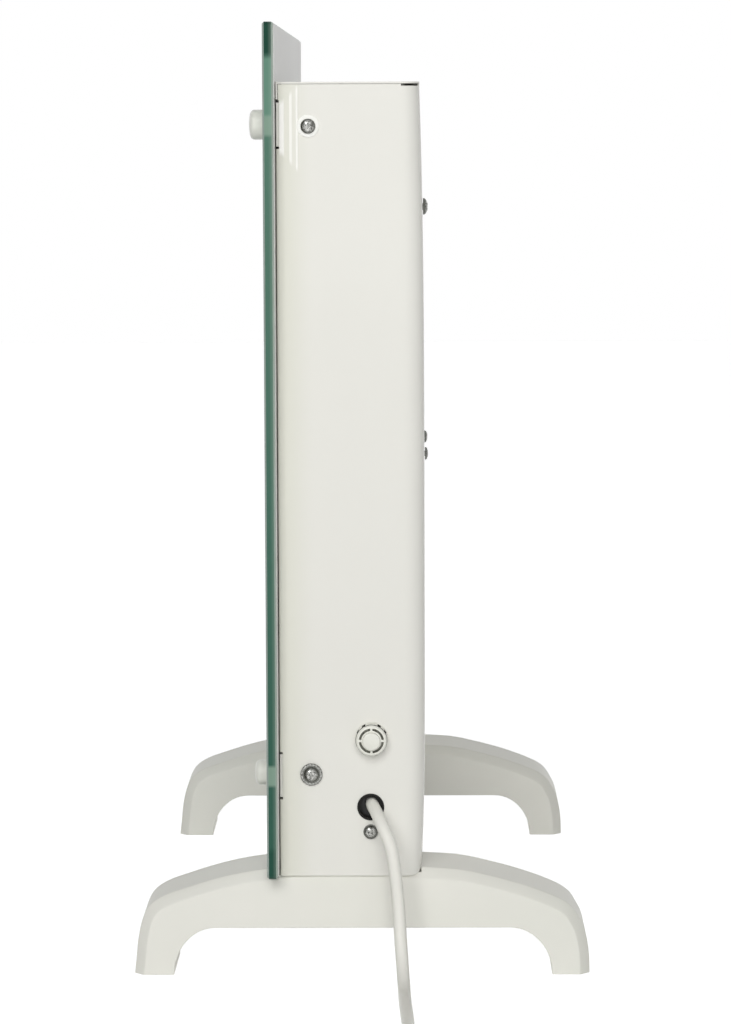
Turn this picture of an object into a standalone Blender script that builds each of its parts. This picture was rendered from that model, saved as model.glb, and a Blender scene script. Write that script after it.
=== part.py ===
"""A free-standing glass convector heater, in metres.

+Z is up and the floor is at Z = 0. The glass faces -Y, and +X is the heater's
right side seen from the front, where the mains lead comes out.
"""
import math

import bmesh
import bpy
from mathutils import Vector

# Driving sizes
HEATER_HEIGHT = 0.529
GLASS_WIDTH = 0.520
GLASS_THICKNESS = 0.006
GLASS_GAP = 0.0013
GLASS_SIDE_OVERHANG = 0.0145
GLASS_TOP_OVERHANG = 0.0338
CASING_DEPTH = 0.078
SHEET = 0.001
FOOT_LENGTH = 0.255
FOOT_WIDTH = 0.058
FOOT_HEIGHT = 0.060
FOOT_RECESS = 0.0036
FOOT_FRONT_REACH = 0.0755
CORD_DIAMETER = 0.007

# Clearances
GAP = 0.0003
OVERRUN = 0.002
FIT = 0.0004

# Planes that the pieces share
RECESS_FLOOR = FOOT_HEIGHT - FOOT_RECESS
GLASS_LIFT = RECESS_FLOOR + GAP + GAP
GLASS_FRONT = FOOT_FRONT_REACH - FOOT_LENGTH / 2
GLASS_REAR = GLASS_FRONT + GLASS_THICKNESS
GLASS_TOP = HEATER_HEIGHT
CASING_LIFT = RECESS_FLOOR + GAP
CASING_FRONT = GLASS_REAR + GLASS_GAP
CASING_REAR = CASING_FRONT + CASING_DEPTH
CASING_SIDE = GLASS_WIDTH / 2 - GLASS_SIDE_OVERHANG
CASING_TOP = GLASS_TOP - GLASS_TOP_OVERHANG
CASING_HEIGHT = CASING_TOP - CASING_LIFT
CORD_RADIUS = CORD_DIAMETER / 2
CASING_MIDDLE = CASING_LIFT + CASING_HEIGHT / 2
WALL_INSIDE = CASING_SIDE - SHEET
PLATE_FRONT = CASING_FRONT + SHEET + GAP
PLATE_REAR = PLATE_FRONT + SHEET
FLOOR_PLATE_TOP = CASING_LIFT + SHEET

# Finishes: colour, roughness, metallic
WHITE_PAINT = ((0.80, 0.79, 0.74), 0.30, 0.0)
WHITE_PLASTIC = ((0.78, 0.77, 0.72), 0.42, 0.0)
GREEN_GLASS = ((0.36, 0.50, 0.43), 0.05, 0.0)
ZINC = ((0.62, 0.62, 0.60), 0.30, 1.0)
ALUMINIUM = ((0.66, 0.67, 0.68), 0.35, 1.0)
BLACK_RUBBER = ((0.02, 0.02, 0.02), 0.70, 0.0)
BLACK_PLASTIC = ((0.03, 0.03, 0.03), 0.45, 0.0)
CLEAR_RUBBER = ((0.60, 0.60, 0.58), 0.60, 0.0)
BOARD_GREEN = ((0.05, 0.22, 0.10), 0.50, 0.0)
CORD_WHITE = ((0.74, 0.73, 0.69), 0.50, 0.0)
BRASS = ((0.70, 0.60, 0.36), 0.30, 1.0)
WIRE_BROWN = ((0.22, 0.10, 0.05), 0.55, 0.0)

# Unit directions: along, then the two across it
DIRECTIONS = {
    "+X": (Vector((1, 0, 0)), Vector((0, 1, 0)), Vector((0, 0, 1))),
    "-X": (Vector((-1, 0, 0)), Vector((0, 1, 0)), Vector((0, 0, 1))),
    "+Y": (Vector((0, 1, 0)), Vector((1, 0, 0)), Vector((0, 0, 1))),
    "-Y": (Vector((0, -1, 0)), Vector((1, 0, 0)), Vector((0, 0, 1))),
    "+Z": (Vector((0, 0, 1)), Vector((1, 0, 0)), Vector((0, 1, 0))),
    "-Z": (Vector((0, 0, -1)), Vector((1, 0, 0)), Vector((0, 1, 0))),
}
SIDES = {"left": -1, "right": 1}
SIDE_OUT = {"left": "-X", "right": "+X"}
ORIGIN = Vector((0, 0, 0))
SMALL_ROUND_SIDES = 12
ROUND_SIDES = 20
SMOOTH_ANGLE = math.radians(35)


def bridge(bm, first, second):
    """Join two rings, or a ring and a pole, with faces."""
    count = max(len(first), len(second))
    for i in range(count):
        corners = [first[i % len(first)], first[(i + 1) % len(first)],
                   second[(i + 1) % len(second)], second[i % len(second)]]
        unique = []
        for corner in corners:
            if corner not in unique:
                unique.append(corner)
        bm.faces.new(unique)


def add_loft(bm, direction, outlines, stations, closed=False):
    """Join outlines of (across, across) points, capped or closed to a ring."""
    along, across, over = DIRECTIONS[direction]
    rings = []
    for outline, station in zip(outlines, stations):
        rings.append([bm.verts.new(along * station + across * u + over * v) for u, v in outline])
    for first, second in zip(rings, rings[1:]):
        bridge(bm, first, second)
    if closed:
        bridge(bm, rings[-1], rings[0])
        return
    bm.faces.new(rings[0])
    bm.faces.new(rings[-1])


def add_prism(bm, direction, outline, start, end):
    """Extrude one outline from start to end."""
    add_loft(bm, direction, [outline, outline], [start, end])


def add_box(bm, low, high):
    """Add a box between two corners."""
    outline = [(low[0], low[1]), (high[0], low[1]), (high[0], high[1]), (low[0], high[1])]
    add_prism(bm, "+Z", outline, low[2], high[2])


def add_turned(bm, direction, seat, profile, sides=ROUND_SIDES):
    """Turn a profile of (radius, height over the seat) about a direction."""
    along, across, over = DIRECTIONS[direction]
    rings = []
    for radius, height in profile:
        centre = Vector(seat) + along * height
        if radius == 0:
            rings.append([bm.verts.new(centre)])
            continue
        ring = []
        for i in range(sides):
            angle = 2 * math.pi * i / sides
            offset = across * math.cos(angle) + over * math.sin(angle)
            ring.append(bm.verts.new(centre + offset * radius))
        rings.append(ring)
    for first, second in zip(rings, rings[1:]):
        bridge(bm, first, second)
    if profile[0][0] > 0:
        bridge(bm, rings[-1], rings[0])


def add_rod(bm, direction, seat, radius, start, end, sides=SMALL_ROUND_SIDES):
    """Add a plain rod from start to end over the seat."""
    add_turned(bm, direction, seat, [(0, start), (radius, start), (radius, end), (0, end)], sides)


def rounded_rectangle(low, high, radius, steps=4):
    """Outline of a rectangle with round corners."""
    corners = [(high[0] - radius, low[1] + radius, -90), (high[0] - radius, high[1] - radius, 0),
               (low[0] + radius, high[1] - radius, 90), (low[0] + radius, low[1] + radius, 180)]
    outline = []
    for u, v, first in corners:
        for i in range(steps + 1):
            angle = math.radians(first + 90 * i / steps)
            outline.append((u + radius * math.cos(angle), v + radius * math.sin(angle)))
    return outline


def solid(name, bm, finish=None, smooth=False):
    """Make an object of a mesh, with its own material."""
    bmesh.ops.recalc_face_normals(bm, faces=bm.faces)
    mesh = bpy.data.meshes.new(name)
    bm.to_mesh(mesh)
    bm.free()
    node = bpy.data.objects.new(name, mesh)
    bpy.context.collection.objects.link(node)
    if smooth:
        mesh.shade_smooth()
        mesh.set_sharp_from_angle(angle=SMOOTH_ANGLE)
    if finish:
        coat(node, finish)
    return node


def coat(node, finish):
    """Give a node its own material."""
    colour, roughness, metallic = finish
    skin = bpy.data.materials.new(node.name)
    skin.use_nodes = True
    shader = skin.node_tree.nodes["Principled BSDF"]
    shader.inputs["Base Color"].default_value = (*colour, 1.0)
    shader.inputs["Roughness"].default_value = roughness
    shader.inputs["Metallic"].default_value = metallic
    node.data.materials.append(skin)


def change(node, bm, operation):
    """Cut a tool's shape out of a node, or add it, with a hidden tool."""
    tool = solid(node.name + "_" + operation.lower(), bm)
    tool.hide_render = True
    tool.display_type = "WIRE"
    step = node.modifiers.new(operation.title(), "BOOLEAN")
    step.operation = operation
    step.object = tool
    step.solver = "EXACT"


def cut(node, bm):
    """Cut a tool's shape out of a node."""
    change(node, bm, "DIFFERENCE")


def join(node, bm):
    """Add a tool's shape to a node."""
    change(node, bm, "UNION")


def casing_bow(height):
    """How far the rear sheet stands out at a height, nothing at its ends."""
    share = abs(height - CASING_MIDDLE) / (CASING_HEIGHT / 2)
    sharpness = 3 if height > CASING_MIDDLE else 6
    return CASING_BOW * (1 - min(share, 1) ** sharpness)


def rear_outside(height):
    """The rear sheet's outer face at a height."""
    return CASING_REAR + casing_bow(height)


def rear_inside(height):
    """The rear sheet's inner face at a height."""
    return rear_outside(height) - SHEET


# The glass and what carries it
GLASS_CORNER = 0.003
GLASS_ARRIS = 0.0010
GLASS_HOLE = 0.004
MOUNT_INSET = 0.0125
MOUNT_BELOW_TOP = 0.0219
MOUNT_ABOVE_BASE = 0.0563
STUD_RADIUS = 0.0025
STUD_REACH = 0.012
CAP_ROUND = 0.0016
CAPS = {"upper": (0.0082, 0.0083), "lower": (0.0070, 0.0074)}
SPACER_RADIUS = 0.0065
BRACKET_SHEET = 0.0013
BRACKET_HEIGHT = 0.024
BRACKET_WIDTH = 0.023
BRACKET_DEPTH = 0.028
MOUNT_X = CASING_SIDE - MOUNT_INSET
MOUNT_HEIGHTS = {"upper": CASING_TOP - MOUNT_BELOW_TOP, "lower": CASING_LIFT + MOUNT_ABOVE_BASE}
BRACKET_OUTER = WALL_INSIDE - GAP
BRACKET_FRONT = CASING_FRONT - GAP
BRACKET_REAR = BRACKET_FRONT + BRACKET_SHEET
SIDE_SCREW_INSET = 0.0171
SIDE_SCREW_SHIFT = 0.0009
SIDE_SCREW_Y = CASING_FRONT + SIDE_SCREW_INSET
SIDE_SCREW_HEIGHTS = {"upper": MOUNT_HEIGHTS["upper"] - SIDE_SCREW_SHIFT,
                      "lower": MOUNT_HEIGHTS["lower"] + SIDE_SCREW_SHIFT}


def glass_panel():
    """Tempered pane with ground edges, round corners and four holes."""
    low = (-GLASS_WIDTH / 2, GLASS_LIFT)
    high = (GLASS_WIDTH / 2, GLASS_TOP)
    full = rounded_rectangle(low, high, GLASS_CORNER)
    inner_low = (low[0] + GLASS_ARRIS, low[1] + GLASS_ARRIS)
    inner_high = (high[0] - GLASS_ARRIS, high[1] - GLASS_ARRIS)
    inner = rounded_rectangle(inner_low, inner_high, GLASS_CORNER - GLASS_ARRIS)
    bm = bmesh.new()
    add_loft(bm, "+Y", [inner, full, full, inner],
             [GLASS_FRONT, GLASS_FRONT + GLASS_ARRIS, GLASS_REAR - GLASS_ARRIS, GLASS_REAR])
    pane = solid("glass_panel", bm, GREEN_GLASS)
    holes = bmesh.new()
    for side in SIDES.values():
        for height in MOUNT_HEIGHTS.values():
            add_rod(holes, "+Y", (side * MOUNT_X, GLASS_FRONT, height), GLASS_HOLE,
                    -OVERRUN, GLASS_THICKNESS + OVERRUN)
    cut(pane, holes)


def glass_cap(level, side):
    """White cap moulded on the screw that passes through the glass."""
    radius, height = CAPS[level]
    seat = (SIDES[side] * MOUNT_X, GLASS_FRONT, MOUNT_HEIGHTS[level])
    stud_end = -(BRACKET_REAR - GLASS_FRONT) - STUD_REACH
    bm = bmesh.new()
    add_turned(bm, "-Y", seat, [
        (0, stud_end), (STUD_RADIUS, stud_end), (STUD_RADIUS, GAP), (radius, GAP),
        (radius, height - CAP_ROUND), (radius - CAP_ROUND / 3, height - CAP_ROUND / 3),
        (radius - CAP_ROUND, height), (0, height)])
    solid(f"glass_cap_{level}_{side}", bm, WHITE_PLASTIC, smooth=True)


def glass_spacer(level, side):
    """Soft washer between the glass and its bracket."""
    seat = (SIDES[side] * MOUNT_X, GLASS_REAR, MOUNT_HEIGHTS[level])
    back = BRACKET_FRONT - GAP - GLASS_REAR
    bore = STUD_RADIUS + FIT
    bm = bmesh.new()
    add_turned(bm, "+Y", seat, [(bore, GAP), (SPACER_RADIUS, GAP), (SPACER_RADIUS, back), (bore, back)])
    solid(f"glass_spacer_{level}_{side}", bm, CLEAR_RUBBER, smooth=True)


def glass_bracket(level, side):
    """Steel angle, one leg behind the glass and one inside the casing's side."""
    sign = SIDES[side]
    height = MOUNT_HEIGHTS[level]
    inner = BRACKET_OUTER - BRACKET_SHEET
    edge = BRACKET_OUTER - BRACKET_WIDTH
    tip = BRACKET_FRONT + BRACKET_DEPTH
    corners = [(edge, BRACKET_FRONT), (BRACKET_OUTER, BRACKET_FRONT), (BRACKET_OUTER, tip),
               (inner, tip), (inner, BRACKET_REAR), (edge, BRACKET_REAR)]
    bm = bmesh.new()
    add_prism(bm, "+Z", [(sign * x, y) for x, y in corners],
              height - BRACKET_HEIGHT / 2, height + BRACKET_HEIGHT / 2)
    angle = solid(f"glass_bracket_{level}_{side}", bm, WHITE_PAINT)
    holes = bmesh.new()
    add_rod(holes, "+Y", (sign * MOUNT_X, BRACKET_FRONT, height), STUD_RADIUS + FIT,
            -OVERRUN, BRACKET_SHEET + OVERRUN)
    add_rod(holes, "+X", (sign * BRACKET_OUTER, SIDE_SCREW_Y, SIDE_SCREW_HEIGHTS[level]), SIDE_SCREW[2] + FIT,
            -OVERRUN, OVERRUN)
    cut(angle, holes)


# Screws: head radius, head height, shank radius, shank length
SIDE_SCREW = (0.0041, 0.0026, 0.0019, 0.009)
REAR_SCREW_LARGE = (0.0046, 0.0026, 0.0019, 0.008)
REAR_SCREW_SMALL = (0.0036, 0.0017, 0.0015, 0.007)
CLAMP_SCREW = (0.0043, 0.0024, 0.0017, 0.007)
FOOT_SCREW = (0.0045, 0.0026, 0.0020, 0.012)
FLANGE_RADIUS = 0.0062
FLANGE_HEIGHT = 0.0009
WASHER_RADIUS = 0.0062
WASHER_HEIGHT = 0.0007
SCREW_DOME_SHARES = ((1.0, 0.45), (0.86, 0.82), (0.5, 1.0))
REAR_SCREW_INSET = 0.0205
REAR_SCREW_BELOW_TOP = 0.0672
REAR_SCREW_X = CASING_SIDE - REAR_SCREW_INSET
REAR_SCREW_HIGH = CASING_TOP - REAR_SCREW_BELOW_TOP
ELEMENT_HEIGHT = 0.291
INNER_SCREW_X = 0.109
REAR_SCREWS = {
    "upper_right": (REAR_SCREW_X, REAR_SCREW_HIGH, REAR_SCREW_LARGE),
    "middle_right": (REAR_SCREW_X, ELEMENT_HEIGHT, REAR_SCREW_SMALL),
    "middle_inner": (INNER_SCREW_X, ELEMENT_HEIGHT, REAR_SCREW_SMALL),
}


def screw(name, direction, seat, sizes, flange=0, lift=0):
    """Pan-head screw on its seat, with a flange under the head where it has one."""
    head_radius, head_height, shank_radius, shank_length = sizes
    base = lift + GAP
    profile = [(0, -shank_length), (shank_radius, -shank_length), (shank_radius, base)]
    if flange:
        profile += [(flange, base), (flange, base + FLANGE_HEIGHT)]
        base += FLANGE_HEIGHT
    profile += [(head_radius, base)]
    for wide_share, high_share in SCREW_DOME_SHARES:
        profile.append((head_radius * wide_share, base + head_height * high_share))
    profile.append((0, base + head_height))
    bm = bmesh.new()
    add_turned(bm, direction, seat, profile, SMALL_ROUND_SIDES)
    solid(name, bm, ZINC, smooth=True)


def side_screws():
    """Four screws that hold the glass brackets, the upper two on white washers."""
    for side, sign in SIDES.items():
        out = SIDE_OUT[side]
        for level, height in SIDE_SCREW_HEIGHTS.items():
            seat = (sign * CASING_SIDE, SIDE_SCREW_Y, height)
            if level == "lower":
                screw(f"side_screw_lower_{side}", out, seat, SIDE_SCREW, flange=FLANGE_RADIUS)
                continue
            top = GAP + WASHER_HEIGHT
            bore = SIDE_SCREW[2] + FIT
            bm = bmesh.new()
            add_turned(bm, out, seat, [(bore, GAP), (WASHER_RADIUS, GAP), (WASHER_RADIUS, top), (bore, top)])
            solid(f"side_washer_{side}", bm, WHITE_PLASTIC, smooth=True)
            screw(f"side_screw_upper_{side}", out, seat, SIDE_SCREW, lift=top)


def rear_screws():
    """Screws through the rear sheet into the supports behind it."""
    for name, (x, height, sizes) in REAR_SCREWS.items():
        screw(f"rear_screw_{name}", "+Y", (x, rear_outside(height), height), sizes)


# The casing
CASING_BOW = 0.0024
REAR_BEND = 0.010
FRONT_BEND = 0.0015
FRONT_FLANGE = 0.012
CORNER_ROUND_FRONT = 0.0016
CORNER_ROUND_REAR = 0.0044
NOTCH_DEPTH = 0.0014
TOP_RELIEF = 0.001
COVER_LOW = CASING_TOP + GAP
COVER_HIGH = COVER_LOW + SHEET
COVER_FRONT_LIP = 0.0095
CASING_LEVELS = 9
SIDE_LINE_INSET = 0.0500
SIDE_LINE_Y = CASING_FRONT + SIDE_LINE_INSET
SENSOR_HEIGHT = 0.1340
SENSOR_SHIFT = 0.0006
SENSOR_Y = SIDE_LINE_Y + SENSOR_SHIFT
CORD_HEIGHT = 0.0955
CORD_HOLE = 0.0069
CLAMP_SCREW_HEIGHT = 0.0816
SWITCH_HEIGHT = 0.1200


def bent_path(corners, bends, steps):
    """Follow corners, with an arc of the given radius at each inner one."""
    path = [corners[0]]
    for before, corner, after, (radius, count) in zip(corners, corners[1:], corners[2:], zip(bends, steps)):
        corner = Vector(corner)
        back = (Vector(before) - corner).normalized()
        onward = (Vector(after) - corner).normalized()
        centre = corner + (back + onward) * radius
        for i in range(count + 1):
            angle = math.pi / 2 * i / count
            point = centre - onward * radius * math.cos(angle) - back * radius * math.sin(angle)
            path.append((point.x, point.y))
    path.append(corners[-1])
    return path


def casing_outline(inset):
    """The wrap's path in plan, at an inset into the sheet."""
    side = CASING_SIDE - inset
    front = CASING_FRONT + inset
    rear = CASING_REAR - inset
    edge = CASING_SIDE - FRONT_FLANGE
    corners = [(-edge, front), (-side, front), (-side, rear), (side, rear), (side, front), (edge, front)]
    bends = [FRONT_BEND - inset, REAR_BEND - inset, REAR_BEND - inset, FRONT_BEND - inset]
    return bent_path(corners, bends, [2, 4, 4, 2])


def corner_tool(bm, rear, steps=6):
    """The waste outside the round lower corner of the sides."""
    radius = CORNER_ROUND_REAR if rear else CORNER_ROUND_FRONT
    face = CASING_REAR if rear else CASING_FRONT
    out = 1 if rear else -1
    arc = []
    for i in range(steps + 1):
        angle = math.pi / 2 * i / steps
        arc.append((face - out * radius * (1 - math.sin(angle)),
                    CASING_LIFT + radius * (1 - math.cos(angle))))
    outside = face + out * OVERRUN
    under = CASING_LIFT - OVERRUN
    outline = arc + [(outside, CASING_LIFT + radius), (outside, under), (arc[0][0], under)]
    add_prism(bm, "+X", outline, -CASING_SIDE - OVERRUN, CASING_SIDE + OVERRUN)


def casing_wrap():
    """Both sides and the rear, bent from one sheet, the rear slightly bowed."""
    outer = casing_outline(0)
    inner = casing_outline(SHEET)
    loop = outer + inner[::-1]
    bend_start = CASING_REAR - REAR_BEND
    rings = []
    heights = [CASING_LIFT + CASING_HEIGHT * i / (CASING_LEVELS - 1) for i in range(CASING_LEVELS)]
    for height in heights:
        ring = []
        for x, y in loop:
            bend_share = min(max((y - bend_start) / (REAR_BEND - SHEET), 0), 1)
            ring.append((x, y + casing_bow(height) * bend_share))
        rings.append(ring)
    bm = bmesh.new()
    add_loft(bm, "+Z", rings, heights)
    wrap = solid("casing_wrap", bm, WHITE_PAINT, smooth=True)
    holes = bmesh.new()
    bracket_holes(holes)
    fitting_holes(holes)
    corner_tool(holes, rear=True)
    corner_tool(holes, rear=False)
    cut(wrap, holes)


def bracket_holes(holes):
    """The sides' screw holes, their front notches and the reliefs under the cover."""
    for side, sign in SIDES.items():
        out = SIDE_OUT[side]
        for height in SIDE_SCREW_HEIGHTS.values():
            seat = (sign * CASING_SIDE, SIDE_SCREW_Y, height)
            add_rod(holes, out, seat, SIDE_SCREW[2] + FIT, -SHEET - OVERRUN, OVERRUN)
        flange_x = sorted([sign * (CASING_SIDE - FRONT_FLANGE - OVERRUN), sign * (CASING_SIDE + OVERRUN)])
        for height in MOUNT_HEIGHTS.values():
            half = BRACKET_HEIGHT / 2 + FIT
            add_box(holes, (flange_x[0], CASING_FRONT - OVERRUN, height - half),
                    (flange_x[1], CASING_FRONT + NOTCH_DEPTH, height + half))
        add_box(holes, (flange_x[0], CASING_FRONT - OVERRUN, COVER_HIGH - COVER_FRONT_LIP - GAP),
                (flange_x[1], CASING_FRONT + SHEET + GAP, CASING_TOP + OVERRUN))
        relief_x = sorted([sign * (CASING_SIDE - REAR_BEND), sign * (CASING_SIDE + OVERRUN)])
        add_box(holes, (relief_x[0], CASING_REAR - REAR_BEND, CASING_TOP - TOP_RELIEF),
                (relief_x[1], CASING_REAR + OVERRUN, CASING_TOP + OVERRUN))


def fitting_holes(holes):
    """Holes for the sensor, cord, clamp, rocker and rear screws."""
    for y, height, radius in ((SENSOR_Y, SENSOR_HEIGHT, SENSOR_NECK + FIT),
                              (SIDE_LINE_Y, CORD_HEIGHT, CORD_HOLE),
                              (SIDE_LINE_Y, CLAMP_SCREW_HEIGHT, CLAMP_SCREW[2] + FIT)):
        add_rod(holes, "+X", (CASING_SIDE, y, height), radius, -SHEET - OVERRUN, OVERRUN, ROUND_SIDES)
    half_y = SWITCH_BODY_Y + FIT
    half_z = SWITCH_BODY_Z + FIT
    add_box(holes, (-CASING_SIDE - OVERRUN, SIDE_LINE_Y - half_y, SWITCH_HEIGHT - half_z),
            (-WALL_INSIDE + OVERRUN, SIDE_LINE_Y + half_y, SWITCH_HEIGHT + half_z))
    for x, height, sizes in REAR_SCREWS.values():
        add_rod(holes, "+Y", (x, rear_outside(height), height), sizes[2] + FIT,
                -SHEET - OVERRUN, OVERRUN)


# Plates of the casing
FRONT_PLATE_TOP_GAP = 0.012
COVER_SKIRT = 0.0075
COVER_REAR_BEND = 0.010
SLOT_WIDTH = 0.005
OUTLET_SLOT_LENGTH = 0.027
OUTLET_SLOTS = 24
OUTLET_END_MARGIN = 0.03275
OUTLET_ROW_OFFSET = 0.0165
INLET_SLOT_LENGTH = 0.024
INLET_SLOTS = 16
INLET_END_MARGIN = 0.0355
INLET_ROW_OFFSET = 0.0160
DUCT_MIDDLE = (PLATE_REAR + CASING_REAR) / 2


def slots(bm, count, reach, length, row_offset, low, high):
    """Two rows of slots across the air duct, spread evenly to a reach on each side."""
    for row in (-1, 1):
        middle = DUCT_MIDDLE + row * row_offset
        for i in range(count):
            x = reach * (2 * i / (count - 1) - 1)
            add_box(bm, (x - SLOT_WIDTH / 2, middle - length / 2, low),
                    (x + SLOT_WIDTH / 2, middle + length / 2, high))


def front_plate():
    """Sheet behind the glass, between the glass brackets."""
    side = BRACKET_OUTER - BRACKET_SHEET - GAP
    bm = bmesh.new()
    add_box(bm, (-side, PLATE_FRONT, FLOOR_PLATE_TOP + GAP),
            (side, PLATE_REAR, CASING_TOP - FRONT_PLATE_TOP_GAP))
    plate = solid("front_plate", bm, WHITE_PAINT)
    holes = bmesh.new()
    for sign in SIDES.values():
        for height in MOUNT_HEIGHTS.values():
            add_rod(holes, "+Y", (sign * MOUNT_X, PLATE_FRONT, height), STUD_RADIUS + FIT,
                    -OVERRUN, SHEET + OVERRUN)
    cut(plate, holes)


def top_grille():
    """Slotted top cover with a lip across the casing's front and skirts inside its sides."""
    corners = [(-CASING_SIDE, CASING_FRONT), (-CASING_SIDE, CASING_REAR),
               (CASING_SIDE, CASING_REAR), (CASING_SIDE, CASING_FRONT)]
    outline = bent_path(corners, [COVER_REAR_BEND, COVER_REAR_BEND], [4, 4])
    bm = bmesh.new()
    add_prism(bm, "+Z", outline, COVER_LOW, COVER_HIGH)
    cover = solid("top_grille", bm, WHITE_PAINT)
    edges = bmesh.new()
    add_box(edges, (-CASING_SIDE, CASING_FRONT, COVER_HIGH - COVER_FRONT_LIP),
            (CASING_SIDE, CASING_FRONT + SHEET, COVER_HIGH - SHEET / 2))
    skirt = WALL_INSIDE - GAP
    skirt_rear = CASING_REAR - REAR_BEND
    for sign in SIDES.values():
        x = sorted([sign * skirt, sign * (skirt - SHEET)])
        add_box(edges, (x[0], PLATE_REAR + GAP, COVER_HIGH - COVER_SKIRT),
                (x[1], skirt_rear, COVER_HIGH - SHEET / 2))
    join(cover, edges)
    holes = bmesh.new()
    slots(holes, OUTLET_SLOTS, CASING_SIDE - OUTLET_END_MARGIN, OUTLET_SLOT_LENGTH, OUTLET_ROW_OFFSET,
          COVER_LOW - OVERRUN, COVER_HIGH + OVERRUN)
    cut(cover, holes)


def bottom_plate():
    """Slotted floor of the casing, which the feet are screwed to."""
    side = WALL_INSIDE - GAP
    bm = bmesh.new()
    low = (-side, PLATE_FRONT)
    high = (side, rear_inside(CASING_LIFT) - GAP)
    add_prism(bm, "+Z", rounded_rectangle(low, high, REAR_BEND, 3), CASING_LIFT, FLOOR_PLATE_TOP)
    plate = solid("bottom_plate", bm, WHITE_PAINT)
    holes = bmesh.new()
    slots(holes, INLET_SLOTS, FOOT_INNER - INLET_END_MARGIN, INLET_SLOT_LENGTH, INLET_ROW_OFFSET,
          CASING_LIFT - OVERRUN, FLOOR_PLATE_TOP + OVERRUN)
    for sign in SIDES.values():
        for y in FOOT_SCREWS.values():
            add_rod(holes, "+Z", (sign * FOOT_MIDDLE, y, CASING_LIFT), FOOT_SCREW[2] + FIT,
                    -OVERRUN, SHEET + OVERRUN)
    cut(plate, holes)


# The feet
FOOT_INSET = 0.002
CHAMFER_WIDTH = 0.006
CHAMFER_HEIGHT = 0.0054
ARCH_HEIGHT = 0.0266
ARCH_END = 0.0235
SOLE_FRONT = 0.0224
SOLE_REAR = 0.0211
RECESS_MARGIN = 0.0006
FOOT_TOP_WALL = 0.004
POCKET_WALL = 0.003
POCKET_FRONT_INSET = 0.055
POCKET_REAR_INSET = 0.059
FOOT_OUTER = CASING_SIDE - FOOT_INSET
FOOT_INNER = FOOT_OUTER - FOOT_WIDTH
FOOT_MIDDLE = (FOOT_OUTER + FOOT_INNER) / 2
FOOT_FRONT = -FOOT_LENGTH / 2
FOOT_REAR = FOOT_LENGTH / 2
FOOT_SCREW_SPREAD = 0.044
FOOT_SCREWS = {"front": DUCT_MIDDLE - FOOT_SCREW_SPREAD / 2, "rear": DUCT_MIDDLE + FOOT_SCREW_SPREAD / 2}
# Shares of the foot's length and height, from the front sole over the top
FOOT_TOP_SHARES = (
    (0.0, 0.0), (0.004, 0.153), (0.008, 0.323), (0.014, 0.455), (0.022, 0.560), (0.034, 0.642),
    (0.048, 0.692), (0.065, 0.733), (0.112, 0.805), (0.165, 0.877), (0.224, 0.940), (0.285, 0.982),
    (0.635, 1.0), (0.727, 0.970), (0.778, 0.922), (0.831, 0.863), (0.897, 0.770), (0.919, 0.732),
    (0.945, 0.677), (0.963, 0.615), (0.976, 0.527), (0.986, 0.448), (0.994, 0.322), (0.999, 0.157),
    (1.0, 0.0))


def foot_outline(inset, steps=8):
    """The foot seen from the side, its outer edge drawn in by an inset."""
    edge = [Vector((FOOT_FRONT + FOOT_LENGTH * y, FOOT_HEIGHT * z)) for y, z in FOOT_TOP_SHARES]
    drawn = []
    for i, point in enumerate(edge):
        before = edge[max(i - 1, 0)]
        after = edge[min(i + 1, len(edge) - 1)]
        run = (after - before).normalized()
        inward = Vector((run.y, -run.x)) * inset
        if i in (0, len(edge) - 1):
            inward.y = 0
        drawn.append((point.x + inward.x, point.y + inward.y))
    arch = []
    for i in range(steps + 1):
        angle = math.pi / 2 * i / steps
        arch.append((FOOT_REAR - SOLE_REAR - ARCH_END * (1 - math.cos(angle)), ARCH_HEIGHT * math.sin(angle)))
    for i in range(steps + 1):
        angle = math.pi / 2 * (1 - i / steps)
        arch.append((FOOT_FRONT + SOLE_FRONT + ARCH_END * (1 - math.cos(angle)),
                     ARCH_HEIGHT * math.sin(angle)))
    return drawn + arch


def foot(side):
    """Moulded foot: a chamfered arch, hollow below, with a seat for the casing."""
    sign = SIDES[side]
    full = foot_outline(0)
    drawn = foot_outline(CHAMFER_HEIGHT)
    bm = bmesh.new()
    edges = (FOOT_OUTER, FOOT_OUTER - CHAMFER_WIDTH, FOOT_INNER + CHAMFER_WIDTH, FOOT_INNER)
    add_loft(bm, "+X", [drawn, full, full, drawn], [sign * x for x in edges])
    arch = solid(f"foot_{side}", bm, WHITE_PLASTIC, smooth=True)
    tools = bmesh.new()
    x = sorted([sign * (FOOT_OUTER + OVERRUN), sign * (FOOT_INNER - OVERRUN)])
    add_box(tools, (x[0], GLASS_FRONT - RECESS_MARGIN, RECESS_FLOOR),
            (x[1], CASING_REAR + RECESS_MARGIN, FOOT_HEIGHT + OVERRUN))
    wall = CHAMFER_WIDTH + POCKET_WALL
    x = sorted([sign * (FOOT_OUTER - wall), sign * (FOOT_INNER + wall)])
    roof = RECESS_FLOOR - FOOT_TOP_WALL
    rib = sum(FOOT_SCREWS.values()) / 2
    for front, rear in ((FOOT_FRONT + POCKET_FRONT_INSET, rib - POCKET_WALL / 2),
                        (rib + POCKET_WALL / 2, FOOT_REAR - POCKET_REAR_INSET)):
        add_box(tools, (x[0], front, ARCH_HEIGHT - OVERRUN), (x[1], rear, roof))
    cut(arch, tools)
    holes = bmesh.new()
    for y in FOOT_SCREWS.values():
        add_rod(holes, "+Z", (sign * FOOT_MIDDLE, y, roof), FOOT_SCREW[2] + FIT,
                -OVERRUN, FOOT_TOP_WALL + OVERRUN)
    cut(arch, holes)
    for name, y in FOOT_SCREWS.items():
        screw(f"foot_screw_{name}_{side}", "-Z", (sign * FOOT_MIDDLE, y, roof), FOOT_SCREW)


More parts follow.
